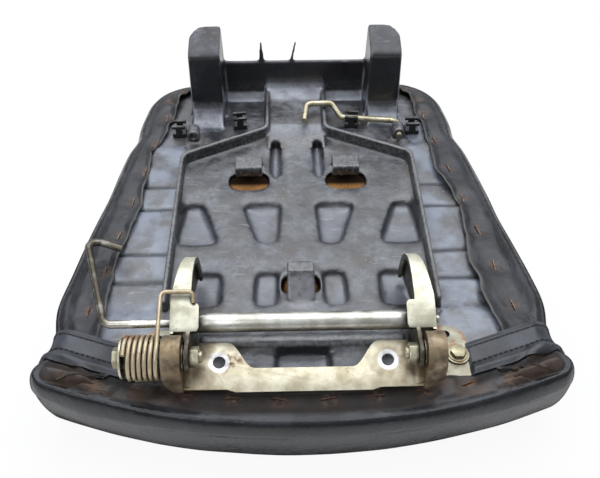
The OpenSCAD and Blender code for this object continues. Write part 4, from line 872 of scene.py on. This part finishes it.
for side, name, columns in ((-1, "left", left_side), (1, "right", right_side)):
    lines = []
    for v in np.linspace(-1, 1, BAND_COLUMNS):
        y = BAND_Y + v * BAND_HALF
        place = np.interp(y, skin_grid[rolled_level, columns, 1], np.arange(len(columns)))
        low = min(int(place), len(columns) - 2)
        near, far = columns[low], columns[low + 1]
        down = slice(rolled_level, belly_level, -1)
        line = skin_grid[down, near] + (skin_grid[down, far] - skin_grid[down, near]) * (place - low)
        start = []
        for t in np.linspace(0, 1, 24)[:-1]:
            start.append(((1 - t) * side * BAND_X + t * line[0, 0], y - BAND_SLANT * (1 - t)))
        start = [(px, py, skin_top(px, py)) for px, py in start]
        lines.append(even_line(np.concatenate([start, line]), BAND_ROWS))
    sheet = np.stack(lines, axis=1)
    for _ in range(8):
        sheet[1:-1, :, 2] = (sheet[:-2, :, 2] + 2 * sheet[1:-1, :, 2] + sheet[2:, :, 2]) / 4
        sheet[:, 1:-1, 2] = (sheet[:, :-2, 2] + 2 * sheet[:, 1:-1, 2] + sheet[:, 2:, 2]) / 4
    face_out = np.cross(np.gradient(sheet, axis=0), np.gradient(sheet, axis=1)) * side
    face_out /= np.linalg.norm(face_out, axis=2)[:, :, None]
    across = np.linspace(-1, 1, BAND_COLUMNS)
    seam = sum(bump(across, row, SEAM_WIDE) for row in SEAMS)
    hem = bump(across, HEM_AT, HEM_WIDE)
    crown = 0.5 + BAND_THICK * (1 - swell(across, -HEM_AT, 1.0)) - SEAM_DEEP * seam + HEM_RISE * hem
    ends = swell(np.arange(BAND_ROWS), 0, 3) * (1 - swell(np.arange(BAND_ROWS), BAND_ROWS - 5, BAND_ROWS - 1))
    top = sheet + face_out * (ends[:, None] * crown[None, :])[:, :, None]
    foot = sheet - face_out * BAND_UNDER
    starts = [i * BAND_COLUMNS + j for i in range(BAND_ROWS - 1) for j in range(BAND_COLUMNS - 1)]
    grid_faces = [(a, a + BAND_COLUMNS, a + BAND_COLUMNS + 1, a + 1) for a in starts]
    half_count = BAND_ROWS * BAND_COLUMNS
    rim = [i * BAND_COLUMNS for i in range(BAND_ROWS)]
    rim += [(BAND_ROWS - 1) * BAND_COLUMNS + j for j in range(1, BAND_COLUMNS)]
    rim += [i * BAND_COLUMNS + BAND_COLUMNS - 1 for i in range(BAND_ROWS - 2, -1, -1)]
    rim += [j for j in range(BAND_COLUMNS - 2, 0, -1)]
    rim_faces = [(a, b, b + half_count, a + half_count) for a, b in zip(rim, rim[1:] + rim[:1])]
    under = [tuple(index + half_count for index in face[::-1]) for face in grid_faces]
    band_mesh = joined_mesh(name + "_corner_band", [
        (np.concatenate([top.reshape(-1, 3), foot.reshape(-1, 3)]), grid_faces + rim_faces + under)])
    band_edit = bmesh.new()
    band_edit.from_mesh(band_mesh)
    bmesh.ops.recalc_face_normals(band_edit, faces=band_edit.faces)
    band_edit.to_mesh(band_mesh)
    band_edit.free()
    # The seam mask also carries painted shade along the lower edge and on the underside.
    seam_and_shade_mask = np.tile(np.maximum(seam, swell(-across, 0.93, 1.0)), BAND_ROWS)
    add_mask(band_mesh, "seam", np.concatenate([seam_and_shade_mask, np.ones(half_count)]))
    band = new_piece(name + "_corner_band", band_mesh, band_vinyl,
                     stands_for=["corner_band_" + name])
    stitches = []
    for row in SEAMS:
        j = int(round((row + 1) / 2 * (BAND_COLUMNS - 1)))
        length = np.linalg.norm(np.diff(top[:, j], axis=0), axis=1).sum()
        fine = even_line(top[:, j] + face_out[:, j] * 0.15, int(length / STITCH_FINE))
        step, long = int(STITCH_STEP / STITCH_FINE), int(STITCH / STITCH_FINE)
        for first in range(6, len(fine) - long - 8, step):
            dive = 0.5 * np.abs(np.linspace(-1, 1, long)) ** 6
            stitches.append(sweep(fine[first:first + long] - face_out[0, j] * dive[:, None], THREAD, 7))
    stitch_mesh = joined_mesh(name + "_band_stitches", stitches)
    new_piece(name + "_band_stitches", stitch_mesh, thread)

# The staples: bent from flat-ended steel wire and driven by hand through the flap into the deck, so none
# lies quite true. They have rusted through their plating, and at the rolled end they are painted nearly
# black as the hinge base's shadow.
STAPLE_HALF, STAPLE_WIRE, STAPLE_BEND, STAPLE_LEG = 5.5, 0.55, 1.0, 5.0


def filleted(points, radius, steps=8):
    """A line of points with its corners rounded by arcs."""
    points = [np.asarray(p, float) for p in points]
    line = [points[0]]
    for before, corner, after in zip(points, points[1:], points[2:]):
        u, v = before - corner, after - corner
        u, v = u / np.linalg.norm(u), v / np.linalg.norm(v)
        half_angle = math.acos(max(-1, min(1, u @ v))) / 2
        centre = corner + (u + v) / np.linalg.norm(u + v) * radius / math.sin(half_angle)
        first = corner + u * radius / math.tan(half_angle) - centre
        last = corner + v * radius / math.tan(half_angle) - centre
        turn = math.pi - 2 * half_angle
        for k in range(steps + 1):
            t = turn * k / steps
            line.append(centre + (math.sin(turn - t) * first + math.sin(t) * last) / math.sin(turn))
    line.append(points[-1])
    return line


rusty_wire = Finish("rusted_staple_wire", roughness=0.55, metallic=0.35)
f = rusty_wire
colour = f.tint(f.rise(f.mottle(0.004, 4), 0.35, 0.65), (0.338, 0.247, 0.169), (0.169, 0.0715, 0.0286))
colour = f.tint(f.rise(f.mottle(0.0012, 2), 0.5, 0.7), colour, (0.091, 0.0455, 0.026))
# Painted shadow: near the rolled end, in the hinge base's shadow, the staples are painted nearly black.
f.set("Base Color", f.tint(f.rise(f.part(1), -0.186, -0.166, 0.8, 0.0), colour, (0.039, 0.0169, 0.0091)))
f.relief((f.mottle(0.001, 3), 0.15 * MM))

staple_wires = []
for index, (sx, sy, angle) in enumerate(staple_spots):
    askew = angle + 0.16 * math.sin(index * 2.4)
    way = np.array((math.cos(askew), math.sin(askew), 0.09 * math.sin(index * 1.7)))
    away = np.hypot(skin_points[1:, 0] / MM - sx, skin_points[1:, 1] / MM - sy) + 50 * (on_top < 0.5)
    top_z = max(skin_points[1 + np.argmin(away), 2] / MM, FLAP_TOP) + STAPLE_WIRE
    middle = np.array((sx, sy, top_z))
    left, right = middle - way * STAPLE_HALF, middle + way * STAPLE_HALF
    drop = np.array((0, 0, -STAPLE_LEG))
    bow = middle + np.array((0, 0, 0.3 + 0.2 * math.sin(index * 3.1)))
    bent = filleted([left + drop, left, bow, right, right + drop], STAPLE_BEND, 5)
    staple_wires.append(sweep(bent, STAPLE_WIRE, 8))
new_piece("staple_wires", joined_mesh("staple_wires", staple_wires), rusty_wire,
          stands_for=["staples"])

# The hinge arms: channels pressed from steel sheet and zinc plated, each with a foot plate that is
# bolted to the deck. The plating has dulled, with rust along the cut edges; the folds, the faces that look
# inwards and the pivot ends are painted dark as shade, with grime and grease there too.
EDGE_ROUND = 0.4 * MM
PIVOTS = ((-0.080, -0.171, 0.093), (0.080, -0.171, 0.093))
FOOT_TOP = 0.066


def plated(name, clean, dull, roughness=0.36, metallic=0.85, rust_from=0.62, grime_reach=0.012):
    """A worn plated finish and its colour so far: clean and dull plating, rust freckles, grime and painted
    shade in corners.
    """
    f = Finish(name, roughness=roughness, metallic=metallic)
    colour = f.tint(f.rise(f.mottle(0.014, 5), 0.32, 0.68), clean, dull)
    colour = f.tint(f.rise(f.mottle(0.0016, 3), 0.6, 0.76, 0.0, 0.55), colour, tuple(0.45 * c for c in dull))
    patches = f.rise(f.mottle(0.017, 5), rust_from, rust_from + 0.12)
    rusting = f.times(patches, f.rise(f.mottle(0.003, 3), 0.3, 0.6))
    colour = f.tint(rusting, colour, (0.26, 0.1105, 0.0416))
    # Grime and painted shade darken the corners.
    grime = f.times(f.crevice(grime_reach), f.rise(f.mottle(0.01, 4), 0.25, 0.6, 0.35, 1.0))
    colour = f.tint(grime, colour, (0.039, 0.0312, 0.0234))
    uneven = f.rise(f.mottle(0.006, 4), 0.3, 0.7, roughness - 0.08, roughness + 0.14)
    f.set("Roughness", f.plus(uneven, f.times(rusting, 0.3)))
    f.relief((f.mottle(0.01, 3), 0.25 * MM), (f.mottle(0.0012, 3), 0.05 * MM))
    return f, colour


def steel_piece(node, finish, body, edge=EDGE_ROUND):
    """A steel solid with its edges eased, as pressing, turning and tumbling leave them."""
    mesh = modified_copy(solids[node], node + "_steel", [
        ("WELD", {"merge_threshold": WELD_GAP}),
        ("DECIMATE", {"decimate_type": "DISSOLVE", "angle_limit": math.radians(0.5)}),
        ("BEVEL", {"width": edge, "segments": 2, "limit_method": "ANGLE", "angle_limit": math.radians(35)}),
    ])
    smooth_faces(mesh, 40)
    return new_piece(node + "_steel", mesh, finish, body=body, stands_for=[node])


arm_zinc, colour = plated("dull_arm_zinc", (0.858, 0.832, 0.689), (0.559, 0.533, 0.403),
                          roughness=0.42, metallic=0.5)
f = arm_zinc
foot = f.rise(f.part(2), FOOT_TOP, FOOT_TOP + 0.002, 1.0, 0.0)
colour = f.tint(foot, colour, (0.39, 0.364, 0.2795))
foot_rust = f.times(foot, f.rise(f.mottle(0.013, 5), 0.5, 0.6, 0.0, 0.85))
colour = f.tint(foot_rust, colour, (0.338, 0.1495, 0.065))
# Painted shade in the arm's folds and under its web.
colour = f.tint(f.times(f.crevice(0.03), 0.8), colour, (0.039, 0.0338, 0.0208))
# Painted shade: faces that look in towards the middle are painted nearly black.
inward = worked(f.tree, "MULTIPLY", f.part(0), f.facing(0))
colour = f.tint(f.rise(inward, -0.06, -0.03, 0.95, 0.0), colour, (0.0416, 0.0364, 0.0221))
# Grease round each pivot, and painted shade over the arm's lower end under the tab.
for pivot in PIVOTS:
    grease_and_shade = f.times(f.near(pivot, 0.013, 0.022), f.rise(f.mottle(0.006, 4), 0.2, 0.5, 0.7, 1.0))
    colour = f.tint(grease_and_shade, colour, (0.0715, 0.0559, 0.0364))
f.set("Base Color", colour)
for node in ("hinge_arm_left", "hinge_arm_right"):
    steel_piece(node, arm_zinc, "seat")

# The cross tube: drawn steel tube between the arms, welded to their inner cheeks and zinc plated.
# The lever rod turns in it, and its lower side is painted dark as shade.
tube_zinc, colour = plated("bright_tube_zinc", (0.72, 0.715, 0.67), (0.46, 0.445, 0.39),
                           roughness=0.34, rust_from=0.66)
f = tube_zinc
# Painted shade: the tube is painted darker towards its underside.
f.set("Base Color", f.tint(f.rise(f.facing(2), -0.4, 0.7, 0.9, 0.0), colour, (0.13, 0.1144, 0.0806)))
steel_piece("cross_tube", tube_zinc, "seat", 0.25 * MM)

# The foot bolts: flange-headed steel screws, cold formed and yellow zinc plated, on plain washers. They
# are turned into brass inserts that sit in the deck.
bolt_zinc, colour = plated("yellow_bolt_zinc", (0.468, 0.429, 0.286), (0.26, 0.2275, 0.1495),
                           roughness=0.36, rust_from=0.55)
bolt_zinc.set("Base Color", colour)
for node in ("foot_bolts", "foot_washers"):
    steel_piece(node, bolt_zinc, "seat", 0.3 * MM)
insert_brass, colour = plated("dull_insert_brass", (0.754, 0.546, 0.234), (0.468, 0.325, 0.13),
                              roughness=0.42)
insert_brass.set("Base Color", colour)
steel_piece("foot_inserts", insert_brass, "seat", 0.2 * MM)

# The pivots: a turned steel bush and a thrust washer beside each arm, with a bolt and nut through arm and
# ear. The plating is worn, and the bolts and nuts turn with the hinge base.
pivot_zinc, colour = plated("worn_pivot_zinc", (0.676, 0.65, 0.494), (0.351, 0.3185, 0.221),
                            roughness=0.34, metallic=0.8, rust_from=0.56)
pivot_zinc.set("Base Color", colour)
for node in ("arm_bush_left", "arm_bush_right", "thrust_washers"):
    steel_piece(node, pivot_zinc, "seat", 0.2 * MM)
for node in ("pivot_bolt_left", "pivot_bolt_right", "pivot_nuts"):
    steel_piece(node, pivot_zinc, "hinge_leaf", 0.45 * MM)

# The hinge base: one pressing of steel plate, yellow zinc plated, folded up into two rimmed ears.
# The bolts have rubbed bright rings round its holes, and the ears are brown with rust and old grease.
HOLES = ((-0.060, -0.16429, 0.07602), (0.060, -0.16429, 0.07602))
EAR_MIDDLES = ((-0.090, -0.171, 0.090), (0.090, -0.171, 0.090))

plate_zinc, colour = plated("yellow_plate_zinc", (0.74, 0.69, 0.535), (0.47, 0.41, 0.285),
                            roughness=0.42, metallic=0.6, rust_from=0.6)
f = plate_zinc
for ear in EAR_MIDDLES:
    rusted = f.times(f.near(ear, 0.016, 0.031), f.rise(f.mottle(0.007, 5), 0.22, 0.6, 0.55, 1.0))
    colour = f.tint(rusted, colour, (0.075, 0.049, 0.034))
    tarnish = f.times(f.near(ear, 0.024, 0.044), f.rise(f.mottle(0.010, 5), 0.35, 0.65, 0.15, 0.85))
    colour = f.tint(tarnish, colour, (0.273, 0.2015, 0.117))
for hole in HOLES:
    ring_wear = f.times(f.near(hole, 0.0068, 0.0084), f.rise(f.mottle(0.004, 3), 0.25, 0.5, 0.5, 1.0))
    colour = f.tint(ring_wear, colour, (0.858, 0.858, 0.858))
f.set("Base Color", colour)
steel_piece("hinge_base", plate_zinc, "hinge_leaf", 0.5 * MM)

# The spring's sleeve and end washer: a bright turned steel sleeve that the coil winds down on, and the
# washer that keeps the coil on it. The left pivot bolt holds both.
steel_piece("spring_sleeve", tube_zinc, "hinge_leaf", 0.3 * MM)
steel_piece("spring_washer", pivot_zinc, "hinge_leaf", 0.3 * MM)

# The torsion spring: oiled spring wire, brassy with age, wound close round the sleeve. One leg is
# hooked over the left arm, the other end is a short tail that turns with the hinge base.
PIVOT_Y, PIVOT_Z = -171.0, 93.0
COIL_R, COIL_IN, TURN_PITCH, TURNS, COIL_FROM, TURN_POINTS = 14.4, 99.7, 3.7, 6.0, 97.0, 40
SPRING_WIRE, LEG_BEND, TAIL = 1.6, 4.0, 6.4
LEG = [(-76.8, -138.4, 111.7), (-76.8, -132.6, 117.2), (-99.7, -132.6, 117.2)]

spring_steel, colour = plated("aged_spring_wire", (0.598, 0.4875, 0.3315), (0.364, 0.286, 0.182),
                              roughness=0.34, metallic=0.55, rust_from=0.57)
spring_steel.set("Base Color", colour)
turns = np.linspace(0, TURNS, int(TURNS * TURN_POINTS) + 1)
turn_angles = np.radians(COIL_FROM + 360 * turns)
coil_line = np.stack([-COIL_IN - TURN_PITCH * turns, PIVOT_Y + COIL_R * np.cos(turn_angles),
                      PIVOT_Z + COIL_R * np.sin(turn_angles)], axis=1)
leg_line = filleted(LEG + [coil_line[0]], LEG_BEND, 8)
last_way = np.array((0, -math.sin(turn_angles[-1]), math.cos(turn_angles[-1])))
spring_line = np.concatenate([leg_line[:-1], coil_line, [coil_line[-1] + last_way * TAIL]])
spring_mesh = joined_mesh("torsion_spring_wire", [sweep(spring_line, SPRING_WIRE, 14)])
spring = new_piece("torsion_spring_wire", spring_mesh, spring_steel, body=None,
                   stands_for=["torsion_spring"])
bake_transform(spring, "seat", "hinge_leaf", start=(-0.101, -0.171, 0.093), end=(-0.1215, -0.171, 0.093))

# The lever rod: zinc plated round bar, bent cold. It turns in the cross tube, and its free end lies
# along the side with a hooked tip; there the plating has gone to a dark bronze.
ROD_R, LEVER_BEND = 3.0, 8
LEVER_LINE = [(97, -143, 95), (-141.7, -143, 95), (-172.7, -44, 84), (-143.7, -52, 79)]
LEVER_DARK = (-0.160, -0.095, 0.090)

rod_zinc, colour = plated("lever_zinc", (0.858, 0.845, 0.793), (0.52, 0.494, 0.429),
                          roughness=0.26, rust_from=0.64)
f = rod_zinc
tarnish = f.near(LEVER_DARK, 0.048, 0.062)
tarnish = f.times(tarnish, f.rise(f.mottle(0.01, 4), 0.2, 0.55, 0.6, 1.0))
f.set("Base Color", f.tint(tarnish, colour, (0.1105, 0.0975, 0.0754)))
lever_mesh = joined_mesh("lever_bar", [sweep(filleted(LEVER_LINE, LEVER_BEND, 12), ROD_R, 20)])
new_piece("lever_bar", lever_mesh, rod_zinc, body="lever", stands_for=["lever_rod"])
steel_piece("rod_retainer", pivot_zinc, "lever", 0.2 * MM)

# The stay wire: the same bar in yellowed zinc. It turns in the eye beside the right horn, is pressed
# into one clip, and its cranked end rests on the spine.
STAY_LINE = [(99, 102, 70), (99, 128, 70), (45.1, 134.1, 70), (36, 144, 80), (11, 144, 80), (8, 117, 79)]
STAY_BEND = 6.5

stay_zinc, colour = plated("stay_zinc", (0.702, 0.65, 0.481), (0.403, 0.3575, 0.247),
                           roughness=0.3, rust_from=0.66)
stay_zinc.set("Base Color", colour)
stay_mesh = joined_mesh("stay_bar", [sweep(filleted(STAY_LINE, STAY_BEND, 12), ROD_R, 20)])
new_piece("stay_bar", stay_mesh, stay_zinc, body="stay", stands_for=["stay_wire"])

# The clips: four small black mouldings with T-shaped jaws, snapped into the deck beside the horns. Dust
# greys what faces up, and the stay wire is pressed into one of them.
clip_plastic = Finish("black_clip_plastic", roughness=0.45, specular=0.4)
f = clip_plastic
clip_dust = f.times(f.facing_up(), f.rise(f.mottle(0.008, 4), 0.3, 0.7))
f.set("Base Color", f.tint(clip_dust, (0.0182, 0.0182, 0.0195), (0.143, 0.1404, 0.1352)))
f.relief((f.mottle(0.003, 3), 0.15 * MM))
for node in ("clip_outer_left", "clip_inner_left", "clip_inner_right", "clip_outer_right"):
    steel_piece(node, clip_plastic, "seat", 0.45 * MM)
